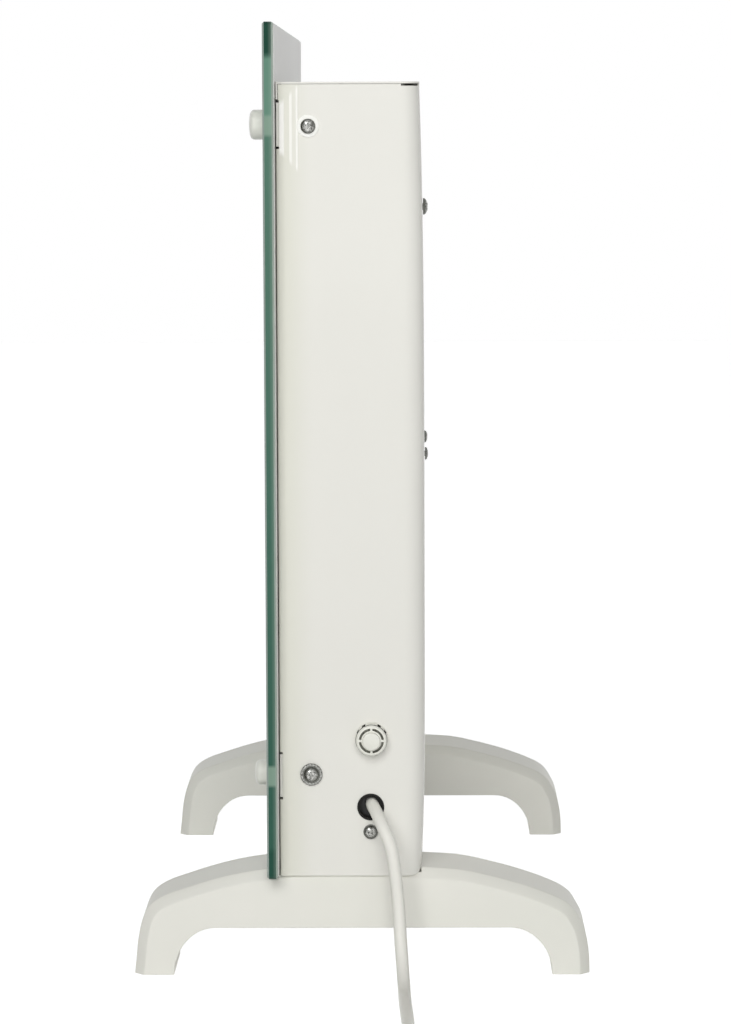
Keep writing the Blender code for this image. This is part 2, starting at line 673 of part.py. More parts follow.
# What enters through the right side
SENSOR_NECK = 0.0060
SENSOR_NECK_DEPTH = 0.007
SENSOR_RADIUS = 0.0090
SENSOR_FACE = 0.0095
SENSOR_WALL = 0.0012
SENSOR_BOSS_RADIUS = 0.0047
SENSOR_BOSS = 0.0125
SENSOR_SLOT_INNER = 0.0054
SENSOR_SLOT_OUTER = 0.0071
SENSOR_SLOT_SWEEP = math.radians(72)
SENSOR_ROUND = 0.0008
VENT_WIDTH = 0.0022
VENT_LOW = 0.0024
VENT_HIGH = 0.0076
VENT_ANGLES = (30, 61, 119, 150, 210, 241, 299, 330)
PROBE_RADIUS = 0.0016
PROBE_REACH = 0.0070
GROMMET_RADIUS = 0.0075
GROMMET_LIP = 0.0009
GROMMET_WALL = 0.0006
CLAMP_LENGTH = 0.014
CLAMP_WIDTH = 0.018
CLAMP_BELOW = 0.011
CLAMP_ABOVE = 0.008
CLAMP_GAP_IN = 0.0028
CLAMP_ROUND = 0.002
CORD_RISE_IN_HOLE = 0.0014
CORD_SHIFT_IN_HOLE = 0.0006
CORD_AXIS_Y = SIDE_LINE_Y + CORD_SHIFT_IN_HOLE
CORD_AXIS_HEIGHT = CORD_HEIGHT + CORD_RISE_IN_HOLE
CLAMP_OUTER = WALL_INSIDE - CLAMP_GAP_IN
CLAMP_INNER = CLAMP_OUTER - CLAMP_LENGTH


def ring_sector(centre, inner, outer, middle, sweep, steps=4):
    """Outline of part of a ring about a centre, from an angle and a sweep."""
    outline = []
    for radius, order in ((inner, range(steps + 1)), (outer, range(steps, -1, -1))):
        for i in order:
            angle = middle - sweep / 2 + sweep * i / steps
            outline.append((centre[0] + radius * math.cos(angle), centre[1] + radius * math.sin(angle)))
    return outline


def sensor_cap():
    """Ventilated cap over the room sensor: slots round a boss, vents in its wall."""
    seat = (CASING_SIDE, SENSOR_Y, SENSOR_HEIGHT)
    inside = SENSOR_NECK - SENSOR_WALL
    wide_inside = SENSOR_RADIUS - SENSOR_WALL
    ledge = GAP + SENSOR_WALL
    under_face = SENSOR_FACE - SENSOR_WALL
    under_boss = SENSOR_BOSS - SENSOR_WALL
    boss_inside = SENSOR_BOSS_RADIUS - SENSOR_WALL
    bm = bmesh.new()
    add_turned(bm, "+X", seat, [
        (0, under_boss), (boss_inside, under_boss), (boss_inside, under_face), (wide_inside, under_face),
        (wide_inside, ledge), (inside, ledge), (inside, -SENSOR_NECK_DEPTH),
        (SENSOR_NECK, -SENSOR_NECK_DEPTH),
        (SENSOR_NECK, GAP), (SENSOR_RADIUS, GAP), (SENSOR_RADIUS, SENSOR_FACE - SENSOR_ROUND),
        (SENSOR_RADIUS - SENSOR_ROUND, SENSOR_FACE), (SENSOR_BOSS_RADIUS, SENSOR_FACE),
        (SENSOR_BOSS_RADIUS, SENSOR_BOSS - SENSOR_ROUND), (SENSOR_BOSS_RADIUS - SENSOR_ROUND, SENSOR_BOSS),
        (0, SENSOR_BOSS)])
    cap = solid("sensor_cap", bm, WHITE_PLASTIC, smooth=True)
    openings = bmesh.new()
    centre = (SENSOR_Y, SENSOR_HEIGHT)
    for quarter in range(4):
        middle = math.radians(45 + 90 * quarter)
        outline = ring_sector(centre, SENSOR_SLOT_INNER, SENSOR_SLOT_OUTER, middle, SENSOR_SLOT_SWEEP)
        add_prism(openings, "+X", outline, CASING_SIDE + under_face - FIT,
                  CASING_SIDE + SENSOR_FACE + OVERRUN)
    for degrees in VENT_ANGLES:
        sweep = VENT_WIDTH / SENSOR_RADIUS
        outline = ring_sector(centre, wide_inside - FIT, SENSOR_RADIUS + OVERRUN,
                              math.radians(degrees), sweep, 1)
        add_prism(openings, "+X", outline, CASING_SIDE + VENT_LOW, CASING_SIDE + VENT_HIGH)
    cut(cap, openings)


def sensor_probe():
    """Thermistor in a sleeve that fills the cap's neck."""
    seat = (CASING_SIDE, SENSOR_Y, SENSOR_HEIGHT)
    sleeve = SENSOR_NECK - SENSOR_WALL - GAP
    bm = bmesh.new()
    add_turned(bm, "+X", seat, [
        (0, -SENSOR_NECK_DEPTH), (sleeve, -SENSOR_NECK_DEPTH), (sleeve, 0), (PROBE_RADIUS, 0),
        (PROBE_RADIUS, PROBE_REACH - PROBE_RADIUS / 2), (PROBE_RADIUS / 2, PROBE_REACH), (0, PROBE_REACH)])
    solid("sensor_probe", bm, BLACK_PLASTIC, smooth=True)


def cord_grommet():
    """Black bush in the cord hole."""
    seat = (CASING_SIDE, SIDE_LINE_Y, CORD_HEIGHT)
    neck = CORD_HOLE - GAP
    bore = neck - GROMMET_WALL
    lip = GAP + GROMMET_LIP
    bm = bmesh.new()
    add_turned(bm, "+X", seat, [
        (bore, -SHEET - lip), (GROMMET_RADIUS, -SHEET - lip), (GROMMET_RADIUS, -SHEET - GAP),
        (neck, -SHEET - GAP), (neck, GAP), (GROMMET_RADIUS, GAP), (GROMMET_RADIUS, lip), (bore, lip)])
    solid("cord_grommet", bm, BLACK_RUBBER, smooth=True)


def cord_clamp():
    """Block inside the wall that grips the cord, held by a screw from outside."""
    bm = bmesh.new()
    outline = rounded_rectangle((SIDE_LINE_Y - CLAMP_WIDTH / 2, CLAMP_SCREW_HEIGHT - CLAMP_BELOW),
                                (SIDE_LINE_Y + CLAMP_WIDTH / 2, CORD_AXIS_HEIGHT + CLAMP_ABOVE), CLAMP_ROUND)
    add_prism(bm, "+X", outline, CLAMP_INNER, CLAMP_OUTER)
    block = solid("cord_clamp", bm, BLACK_PLASTIC)
    boss = bmesh.new()
    add_rod(boss, "+X", (CLAMP_OUTER, SIDE_LINE_Y, CLAMP_SCREW_HEIGHT), CLAMP_SCREW[0],
            -CLAMP_GAP_IN, CLAMP_GAP_IN - GAP)
    join(block, boss)
    holes = bmesh.new()
    add_rod(holes, "+X", (CLAMP_OUTER, CORD_AXIS_Y, CORD_AXIS_HEIGHT), CORD_RADIUS + GAP,
            -CLAMP_LENGTH - OVERRUN, CLAMP_GAP_IN + OVERRUN, ROUND_SIDES)
    add_rod(holes, "+X", (CASING_SIDE, SIDE_LINE_Y, CLAMP_SCREW_HEIGHT), CLAMP_SCREW[2] + FIT,
            -CLAMP_SCREW[3] - OVERRUN, OVERRUN)
    cut(block, holes)
    screw("cord_clamp_screw", "+X", (CASING_SIDE, SIDE_LINE_Y, CLAMP_SCREW_HEIGHT), CLAMP_SCREW)


# The mains rocker, on the left side
SWITCH_BODY_Y = 0.0072
SWITCH_BODY_Z = 0.0145
SWITCH_BEZEL = 0.0014
SWITCH_BEZEL_HEIGHT = 0.0020
SWITCH_DEPTH = 0.0170
SWITCH_WALL = 0.0015
ROCKER_RADIUS = SWITCH_BODY_Z - SWITCH_WALL - FIT
ROCKER_PIVOT_DEPTH = 0.0015
ROCKER_CROWN = 0.0034
ROCKER_BELOW = 0.0042
ROCKER_SIDE_GAP = 0.00035
ROCKER_HALF_TRAVEL = math.radians(11)
TRUNNION_RADIUS = 0.0012
TRUNNION_REACH = 0.0008
SWITCH_INNER_Y = SWITCH_BODY_Y - SWITCH_WALL
SWITCH_INNER_Z = SWITCH_BODY_Z - SWITCH_WALL
ROCKER_PIVOT_X = -CASING_SIDE + ROCKER_PIVOT_DEPTH


def switch_housing():
    """Open box with a bezel outside the wall and pivot holes inside."""
    outside = -CASING_SIDE - GAP
    bezel_y = SWITCH_BODY_Y + SWITCH_BEZEL
    bezel_z = SWITCH_BODY_Z + SWITCH_BEZEL
    bezel = rounded_rectangle((SIDE_LINE_Y - bezel_y, SWITCH_HEIGHT - bezel_z),
                              (SIDE_LINE_Y + bezel_y, SWITCH_HEIGHT + bezel_z), SWITCH_BEZEL)
    bm = bmesh.new()
    add_prism(bm, "+X", bezel, outside - SWITCH_BEZEL_HEIGHT, outside)
    housing = solid("switch_housing", bm, BLACK_PLASTIC)
    body = bmesh.new()
    add_box(body, (outside - SWITCH_BEZEL_HEIGHT / 2, SIDE_LINE_Y - SWITCH_BODY_Y,
                   SWITCH_HEIGHT - SWITCH_BODY_Z),
            (outside + SWITCH_DEPTH, SIDE_LINE_Y + SWITCH_BODY_Y, SWITCH_HEIGHT + SWITCH_BODY_Z))
    join(housing, body)
    cavity = bmesh.new()
    add_box(cavity, (outside - SWITCH_BEZEL_HEIGHT - OVERRUN, SIDE_LINE_Y - SWITCH_INNER_Y,
                     SWITCH_HEIGHT - SWITCH_INNER_Z),
            (outside + SWITCH_DEPTH - SWITCH_WALL, SIDE_LINE_Y + SWITCH_INNER_Y,
             SWITCH_HEIGHT + SWITCH_INNER_Z))
    cut(housing, cavity)
    sockets = bmesh.new()
    reach = SWITCH_INNER_Y - ROCKER_SIDE_GAP + TRUNNION_REACH + GAP
    add_rod(sockets, "+Y", (ROCKER_PIVOT_X, SIDE_LINE_Y, SWITCH_HEIGHT), TRUNNION_RADIUS + GAP,
            -reach, reach, ROUND_SIDES)
    cut(housing, sockets)


def rocker_outline(steps=5):
    """Side view of the rocker: two flats that meet in a valley, with round ends, tilted to off."""
    slope = math.tan(ROCKER_HALF_TRAVEL)
    spread = 1 + slope ** 2
    end = (math.sqrt(ROCKER_RADIUS ** 2 * spread - ROCKER_CROWN ** 2) - ROCKER_CROWN * slope) / spread
    top_angle = math.atan2(ROCKER_CROWN + end * slope, end)
    low_angle = math.asin(ROCKER_BELOW / ROCKER_RADIUS)
    neutral = [(0, ROCKER_CROWN)]
    for i in range(steps + 1):
        angle = top_angle - (top_angle + low_angle) * i / steps
        neutral.append((ROCKER_RADIUS * math.cos(angle), ROCKER_RADIUS * math.sin(angle)))
    neutral += [(-z, out) for z, out in neutral[:0:-1]]
    turn = ROCKER_HALF_TRAVEL
    outline = []
    for z, out in neutral:
        raised_z = z * math.cos(turn) - out * math.sin(turn)
        raised_out = z * math.sin(turn) + out * math.cos(turn)
        outline.append((-raised_out, raised_z))
    return outline


def switch_rocker():
    """Rocker at rest in its off position, its upper end out, on two trunnions."""
    pivot = bpy.data.objects.new("rocker_pivot", None)
    pivot.location = (ROCKER_PIVOT_X, SIDE_LINE_Y, SWITCH_HEIGHT)
    bpy.context.collection.objects.link(pivot)
    half = SWITCH_INNER_Y - ROCKER_SIDE_GAP
    bm = bmesh.new()
    add_prism(bm, "+Y", rocker_outline(), -half, half)
    rocker = solid("switch_rocker", bm, BLACK_PLASTIC, smooth=True)
    trunnions = bmesh.new()
    add_rod(trunnions, "+Y", ORIGIN, TRUNNION_RADIUS, -half - TRUNNION_REACH, half + TRUNNION_REACH)
    join(rocker, trunnions)
    rocker.parent = pivot
    rocker.modifiers["Union"].object.parent = pivot


# Inside the casing
ELEMENT_ARM = 0.040
ELEMENT_ARM_SHEET = 0.002
ELEMENT_HUB = 0.009
ELEMENT_LIP = 0.0030
ELEMENT_LIP_SHEET = 0.0014
ELEMENT_CLEAR_LEFT = 0.0200
ELEMENT_CLEAR_RIGHT = 0.0195
ELEMENT_PIN = 0.005
ELEMENT_PIN_REACH = 0.009
BRACKET_PLATE = 0.0012
ELEMENT_BRACKET_HEIGHT = 0.070
ELEMENT_BRACKET_GAP = 0.004
TAB_HEIGHT = 0.016
TAB_LENGTH = 0.016
SHIELD_INSET = 0.0095
CUTOUT_RADIUS = 0.008
CUTOUT_HEIGHT = 0.007
CUTOUT_RISE = 0.060
DUCT_FRONT = PLATE_REAR + GAP
SHIELD_X = INNER_SCREW_X - SHIELD_INSET
ELEMENT_LEFT = ELEMENT_CLEAR_LEFT - REAR_SCREW_X
ELEMENT_RIGHT = SHIELD_X - ELEMENT_CLEAR_RIGHT


def element_outline():
    """Cross-section of the element: four lipped arms on a round hub."""
    half = ELEMENT_ARM_SHEET / 2
    root = math.sqrt(ELEMENT_HUB ** 2 - half ** 2)
    neck = ELEMENT_ARM - ELEMENT_LIP_SHEET
    arm = [(root, -half), (neck, -half), (neck, -ELEMENT_LIP), (ELEMENT_ARM, -ELEMENT_LIP),
           (ELEMENT_ARM, ELEMENT_LIP), (neck, ELEMENT_LIP), (neck, half), (root, half)]
    hub_angle = math.radians(45)
    arm.append((ELEMENT_HUB * math.cos(hub_angle), ELEMENT_HUB * math.sin(hub_angle)))
    middle_y = (DUCT_FRONT + rear_inside(ELEMENT_HEIGHT)) / 2
    outline = []
    for quarter in range(4):
        turn = math.radians(45 + 90 * quarter)
        for u, v in arm:
            outline.append((middle_y + u * math.cos(turn) - v * math.sin(turn),
                            ELEMENT_HEIGHT + u * math.sin(turn) + v * math.cos(turn)))
    return outline, middle_y


def heating_element():
    """Extruded aluminium element with a pin at each end."""
    outline, middle_y = element_outline()
    bm = bmesh.new()
    add_prism(bm, "+X", outline, ELEMENT_LEFT, ELEMENT_RIGHT)
    element = solid("heating_element", bm, ALUMINIUM)
    pins = bmesh.new()
    add_rod(pins, "+X", (0, middle_y, ELEMENT_HEIGHT), ELEMENT_PIN,
            ELEMENT_LEFT - ELEMENT_PIN_REACH, ELEMENT_RIGHT + ELEMENT_PIN_REACH, ROUND_SIDES)
    join(element, pins)


def duct_plate(bm, start, end, low, high, levels=8):
    """Upright plate across the duct whose rear edge follows the bowed sheet."""
    outline = [(DUCT_FRONT, high), (DUCT_FRONT, low)]
    for i in range(levels + 1):
        height = low + (high - low) * i / levels
        outline.append((rear_inside(height) - GAP, height))
    add_prism(bm, "+X", outline, start, end)


def rear_tab(node, height, start, end):
    """Tab against the rear sheet, and the place of its back."""
    back = min(rear_inside(height - TAB_HEIGHT / 2), rear_inside(height + TAB_HEIGHT / 2)) - GAP
    tab = bmesh.new()
    add_box(tab, (start, back - BRACKET_PLATE, height - TAB_HEIGHT / 2), (end, back, height + TAB_HEIGHT / 2))
    join(node, tab)
    return back


def screw_tab(node, screw_name, start, end):
    """Tab against the rear sheet, with a hole for a rear screw."""
    x, height, sizes = REAR_SCREWS[screw_name]
    back = rear_tab(node, height, start, end)
    hole = bmesh.new()
    add_rod(hole, "+Y", (x, back, height), sizes[2] + FIT, -BRACKET_PLATE - OVERRUN, OVERRUN)
    cut(node, hole)


def element_bracket(side):
    """Plate that carries one end pin of the element."""
    if side == "left":
        end = ELEMENT_LEFT - ELEMENT_BRACKET_GAP
        start = end - BRACKET_PLATE
    else:
        start = ELEMENT_RIGHT + ELEMENT_BRACKET_GAP
        end = start + BRACKET_PLATE
    bm = bmesh.new()
    duct_plate(bm, start, end, ELEMENT_HEIGHT - ELEMENT_BRACKET_HEIGHT / 2,
               ELEMENT_HEIGHT + ELEMENT_BRACKET_HEIGHT / 2)
    plate = solid(f"element_bracket_{side}", bm, ZINC)
    middle_y = element_outline()[1]
    bore = bmesh.new()
    add_rod(bore, "+X", (start, middle_y, ELEMENT_HEIGHT), ELEMENT_PIN + GAP,
            -OVERRUN, BRACKET_PLATE + OVERRUN, ROUND_SIDES)
    cut(plate, bore)
    if side == "left":
        rear_tab(plate, ELEMENT_HEIGHT, end - TAB_LENGTH, end)


def heat_shield():
    """Partition between the air duct and the electronics, with a wire hole."""
    bm = bmesh.new()
    duct_plate(bm, SHIELD_X, SHIELD_X + BRACKET_PLATE, FLOOR_PLATE_TOP + GAP, CASING_TOP - COVER_SKIRT)
    shield = solid("heat_shield", bm, ZINC)
    hole = bmesh.new()
    add_rod(hole, "+X", (SHIELD_X, element_outline()[1], ELEMENT_HEIGHT), WIRE_RADIUS + FIT,
            -OVERRUN, BRACKET_PLATE + OVERRUN)
    cut(shield, hole)
    screw_tab(shield, "middle_inner", SHIELD_X + BRACKET_PLATE / 2,
              REAR_SCREWS["middle_inner"][0] + TAB_LENGTH / 2)


def thermal_cutout():
    """Disc thermostat on the electronics side of the shield."""
    seat = (SHIELD_X + BRACKET_PLATE, DUCT_MIDDLE, ELEMENT_HEIGHT + CUTOUT_RISE)
    bm = bmesh.new()
    add_turned(bm, "+X", seat, [
        (0, GAP), (CUTOUT_RADIUS, GAP), (CUTOUT_RADIUS, CUTOUT_HEIGHT / 2),
        (CUTOUT_RADIUS - OVERRUN, CUTOUT_HEIGHT), (0, CUTOUT_HEIGHT)])
    solid("thermal_cutout", bm, BLACK_PLASTIC, smooth=True)


# Electronics
BOARD_SHEET = 0.0016
BOARD_CLEAR_LEFT = 0.0285
BOARD_CLEAR_RIGHT = 0.0125
BOARD_BELOW_SCREW = 0.027
BOARD_HEIGHT = 0.084
BOARD_STANDOFF = 0.0133
BOARD_POST = 0.003
BOARD_POST_INSET = 0.007
RELAY = (0.019, 0.016, 0.015)
CAPACITOR_RADIUS = 0.006
CAPACITOR_HEIGHT = 0.018
COMPONENT_SINK = BOARD_SHEET / 2
TOUCH_CLEAR_RIGHT = 0.023
TOUCH_LENGTH = 0.070
TOUCH_HEIGHT = 0.030
TOUCH_ABOVE_MOUNT = 0.042
TERMINAL = (0.030, 0.022, 0.048)
TERMINAL_CLEAR = 0.006
TILT = (0.014, 0.012, 0.018)
TILT_CLEAR = 0.018
SMALL_ROUND = 0.001
BOARD_LEFT = SHIELD_X + BOARD_CLEAR_LEFT
BOARD_RIGHT = WALL_INSIDE - BOARD_CLEAR_RIGHT
BOARD_HIGH = ELEMENT_HEIGHT - BOARD_BELOW_SCREW
BOARD_LOW = BOARD_HIGH - BOARD_HEIGHT
BOARD_Y = CASING_REAR - BOARD_STANDOFF
TOUCH_RIGHT = MOUNT_X - TOUCH_CLEAR_RIGHT
TOUCH_LOW = MOUNT_HEIGHTS["lower"] + TOUCH_ABOVE_MOUNT
TERMINAL_RIGHT = CLAMP_INNER - TERMINAL_CLEAR
TILT_LEFT = TERMINAL_RIGHT - TERMINAL[0] - TILT_CLEAR - TILT[0]


def control_board():
    """Power board on four posts, with its relay and capacitor."""
    bm = bmesh.new()
    add_box(bm, (BOARD_LEFT, BOARD_Y, BOARD_LOW), (BOARD_RIGHT, BOARD_Y + BOARD_SHEET, BOARD_HIGH))
    board = solid("control_board", bm, BOARD_GREEN)
    extras = bmesh.new()
    for x in (BOARD_LEFT + BOARD_POST_INSET, BOARD_RIGHT - BOARD_POST_INSET):
        for height in (BOARD_LOW + BOARD_POST_INSET, BOARD_HIGH - BOARD_POST_INSET):
            end = rear_inside(height - BOARD_POST) - GAP - BOARD_Y
            add_rod(extras, "+Y", (x, BOARD_Y, height), BOARD_POST, COMPONENT_SINK, end)
    middle_x = (BOARD_LEFT + BOARD_RIGHT) / 2
    middle_z = (BOARD_LOW + BOARD_HIGH) / 2
    front = BOARD_Y + COMPONENT_SINK
    add_box(extras, (middle_x, front - RELAY[1], middle_z - RELAY[2] / 2),
            (middle_x + RELAY[0], front, middle_z + RELAY[2] / 2))
    add_rod(extras, "-Y", (middle_x - RELAY[0], front, middle_z), CAPACITOR_RADIUS,
            0, CAPACITOR_HEIGHT, ROUND_SIDES)
    join(board, extras)


def touch_board():
    """Touch-key board against the back of the glass."""
    bm = bmesh.new()
    add_box(bm, (TOUCH_RIGHT - TOUCH_LENGTH, GLASS_REAR + GAP, TOUCH_LOW),
            (TOUCH_RIGHT, GLASS_REAR + GAP + BOARD_SHEET, TOUCH_LOW + TOUCH_HEIGHT))
    solid("touch_board", bm, BOARD_GREEN)


def floor_block(name, left, size, finish):
    """Block that stands on the casing's floor plate."""
    low = FLOOR_PLATE_TOP + GAP
    corner = (left, DUCT_MIDDLE - size[1] / 2)
    outline = rounded_rectangle(corner, (left + size[0], corner[1] + size[1]), SMALL_ROUND, 2)
    bm = bmesh.new()
    add_prism(bm, "+Z", outline, low, low + size[2])
    solid(name, bm, finish)


# Wires and the cord
WIRE_RADIUS = 0.0012
WIRE_RUN = 0.012
WIRE_INSET = 0.016
WIRE_SPACING = 0.007
CORD_SPACING = 0.012
FINE_STEPS = 24
FLOOR_CLEARANCE = 0.0001
MM_PER_METRE = 1000
COIL_CENTRE_X = 0.520
COIL_OUTER = 0.0490
COIL_PITCH = 0.0076
COIL_TURNS = 4.25
COIL_LOOP_POINTS = 24
COIL_CLIMB_TURNS = 0.5
TIE_THICKNESS = 0.0008
TIE_WIDTH = 0.012
TIE_SLACK = 0.0012
TIE_ROUND = 0.002
CORD_ON_FLOOR = CORD_RADIUS + FLOOR_CLEARANCE
COIL_LOW = FLOOR_CLEARANCE + TIE_THICKNESS + GAP + CORD_RADIUS
COIL_HIGH = COIL_LOW + COIL_PITCH
CORD_START = TERMINAL_RIGHT + GAP
CORD_LAID_Y = 0.0262
COIL_CENTRE_Y = CORD_LAID_Y - COIL_OUTER
COIL_START_X = COIL_CENTRE_X - CORD_DIAMETER
COIL_EXIT_X = COIL_CENTRE_X + COIL_OUTER
COIL_EXIT_Y = COIL_CENTRE_Y - CORD_DIAMETER
PLUG_TAIL_Y = -0.078
PLUG_AXIS_HEIGHT = 0.0186
# Radius and place of the plug's outline, from its tail to its face
PLUG_PROFILE = ((0.0050, 0), (0.0062, 0.020), (0.0110, 0.025), (0.0160, 0.033),
                (0.0180, 0.041), (0.0185, 0.046), (0.0185, 0.059), (0.0175, 0.060))
PLUG_PIN_RADIUS = 0.0024
PLUG_PIN_LENGTH = 0.019
PLUG_PIN_SPREAD = 0.019
PLUG_LENGTH = PLUG_PROFILE[-1][1]

# The lead's route, from the terminals through the clamp and hole to the floor
LEAD_ROUTE = (
    (CORD_START, CORD_AXIS_Y, CORD_AXIS_HEIGHT), (0.2320, CORD_AXIS_Y, CORD_AXIS_HEIGHT),
    (0.2400, CORD_AXIS_Y, CORD_AXIS_HEIGHT), (0.2460, 0.0061, 0.0969), (0.2519, 0.0070, 0.0963),
    (0.2588, 0.0089, 0.0940), (0.2649, 0.0111, 0.0900), (0.2708, 0.0146, 0.0830),
    (0.2739, 0.0171, 0.0760), (0.2750, 0.0184, 0.0680), (0.2755, 0.0196, 0.0580),
    (0.2760, 0.0205, 0.0480), (0.2775, 0.0212, 0.0380), (0.2810, 0.0219, 0.0270),
    (0.2870, 0.0227, 0.0170), (0.2960, 0.0234, 0.0090), (0.3070, 0.0239, 0.0046),
    (0.3200, 0.0242, CORD_ON_FLOOR), (0.3350, 0.0246, CORD_ON_FLOOR), (0.3500, 0.0251, CORD_ON_FLOOR),
    (0.3650, 0.0256, CORD_ON_FLOOR), (0.3800, 0.0260, CORD_ON_FLOOR), (0.4000, CORD_LAID_Y, CORD_ON_FLOOR),
    (0.4300, CORD_LAID_Y, 0.0038), (0.4600, CORD_LAID_Y, 0.0043), (0.4850, CORD_LAID_Y, COIL_LOW),
    (0.5000, CORD_LAID_Y, COIL_LOW), (COIL_START_X - GAP, CORD_LAID_Y, COIL_LOW))
# The tail's route, from the coil up to the plug
TAIL_ROUTE = (
    (COIL_EXIT_X, COIL_EXIT_Y - GAP, COIL_HIGH), (COIL_EXIT_X, -0.0400, COIL_HIGH),
    (COIL_EXIT_X, -0.0460, 0.0126), (COIL_EXIT_X, -0.0520, 0.0137), (COIL_EXIT_X, -0.0580, 0.0155),
    (COIL_EXIT_X, -0.0640, 0.0172), (COIL_EXIT_X, -0.0700, 0.0183),
    (COIL_EXIT_X, PLUG_TAIL_Y + GAP, PLUG_AXIS_HEIGHT))


def smooth_curve(points, spacing):
    """Points at an even spacing along a smooth curve through the given ones."""
    knots = [Vector(point) for point in points]
    spans = [(after - before).length for before, after in zip(knots, knots[1:])]
    slopes = [(after - before) / span for before, after, span in zip(knots, knots[1:], spans)]
    tangents = [slopes[0]]
    for i in range(1, len(slopes)):
        blend = slopes[i - 1] * spans[i] + slopes[i] * spans[i - 1]
        tangents.append(blend / (spans[i - 1] + spans[i]))
    tangents.append(slopes[-1])
    fine = []
    for i, span in enumerate(spans):
        for j in range(FINE_STEPS):
            t = j / FINE_STEPS
            ease = t * t * (3 - 2 * t)
            lead_in = tangents[i] * span * t * (1 - t) ** 2
            lead_out = tangents[i + 1] * span * t * t * (t - 1)
            fine.append(knots[i] * (1 - ease) + knots[i + 1] * ease + lead_in + lead_out)
    fine.append(knots[-1])
    count = round(run_length(fine) / spacing)
    step = run_length(fine) / count
    even = [fine[0]]
    travelled = 0
    for before, after in zip(fine, fine[1:]):
        span = (after - before).length
        while len(even) < count and travelled + span >= step * len(even):
            even.append(before.lerp(after, (step * len(even) - travelled) / span))
        travelled += span
    return even + [fine[-1]]


def run_length(points):
    """Length along points."""
    return sum((after - before).length for before, after in zip(points, points[1:]))


def tube(name, points, radius, finish, resolution=2):
    """Round cord through points, closed at both ends."""
    curve = bpy.data.curves.new(name, "CURVE")
    curve.dimensions = "3D"
    curve.bevel_depth = radius
    curve.bevel_resolution = resolution
    curve.render_resolution_u = 0
    curve.use_fill_caps = True
    spline = curve.splines.new("POLY")
    spline.points.add(len(points) - 1)
    for knot, point in zip(spline.points, points):
        knot.co = (*point, 1)
    node = bpy.data.objects.new(name, curve)
    bpy.context.collection.objects.link(node)
    coat(node, finish)


def coil_points():
    """Two layers of loops, inwards below and outwards above, turning clockwise."""
    middle = COIL_TURNS / 2
    points = [Vector((COIL_START_X, CORD_LAID_Y, COIL_LOW))]
    for i in range(round(COIL_TURNS * COIL_LOOP_POINTS) + 1):
        turn = i / COIL_LOOP_POINTS
        angle = math.pi / 2 - 2 * math.pi * turn
        radius = COIL_OUTER - COIL_PITCH * (middle - abs(turn - middle))
        share = min(max((turn - middle) / COIL_CLIMB_TURNS + 1 / 2, 0), 1)
        climb = share * share * (3 - 2 * share)
        points.append(Vector((COIL_CENTRE_X + radius * math.cos(angle),
                              COIL_CENTRE_Y + radius * math.sin(angle),
                              COIL_LOW + (COIL_HIGH - COIL_LOW) * climb)))
    points.append(Vector((COIL_EXIT_X, COIL_EXIT_Y, COIL_HIGH)))
    return points


def least_gap(points, diameter):
    """Least gap between stretches of a cord that lie half a loop or more apart."""
    least = math.inf
    apart = COIL_LOOP_POINTS // 2
    for i, point in enumerate(points):
        for start, end in zip(points[i + apart:], points[i + apart + 1:]):
            run = end - start
            share = min(max((point - start).dot(run) / run.length_squared, 0), 1)
            least = min(least, (point - start - run * share).length - diameter)
    return least


def cord():
    """The mains lead: down to the floor, then put away in a tied coil."""
    lead = smooth_curve(LEAD_ROUTE, CORD_SPACING)
    coil = coil_points()
    tail = smooth_curve(TAIL_ROUTE, CORD_SPACING)
    tube("cord_lead", lead, CORD_RADIUS, CORD_WHITE)
    tube("cord_coil", coil, CORD_RADIUS, CORD_WHITE, resolution=1)
    tube("cord_tail", tail, CORD_RADIUS, CORD_WHITE)
    total = run_length(lead) + run_length(coil) + run_length(tail)
    print("Least gap from the coil to itself:", round(least_gap(coil, CORD_DIAMETER) * MM_PER_METRE, 2), "mm")
    print("Length of the cord:", round(total * MM_PER_METRE), "mm")


def cord_tie():
    """Strap round the coil's loops, on the side next to the heater."""
    core = COIL_OUTER - COIL_PITCH * COIL_TURNS / 2
    near = core - CORD_RADIUS - TIE_SLACK
    far = core + COIL_PITCH * 2 + CORD_RADIUS + TIE_SLACK
    low = FLOOR_CLEARANCE + TIE_THICKNESS
    high = COIL_HIGH + CORD_RADIUS + GAP
    inner = rounded_rectangle((COIL_CENTRE_X - far, low), (COIL_CENTRE_X - near, high),
                              TIE_ROUND - TIE_THICKNESS)
    outer = rounded_rectangle((COIL_CENTRE_X - far - TIE_THICKNESS, low - TIE_THICKNESS),
                              (COIL_CENTRE_X - near + TIE_THICKNESS, high + TIE_THICKNESS), TIE_ROUND)
    start = COIL_CENTRE_Y - TIE_WIDTH / 2
    end = COIL_CENTRE_Y + TIE_WIDTH / 2
    bm = bmesh.new()
    add_loft(bm, "+Y", [outer, outer, inner, inner], [start, end, end, start], closed=True)
    solid("cord_tie", bm, BLACK_PLASTIC, smooth=True)


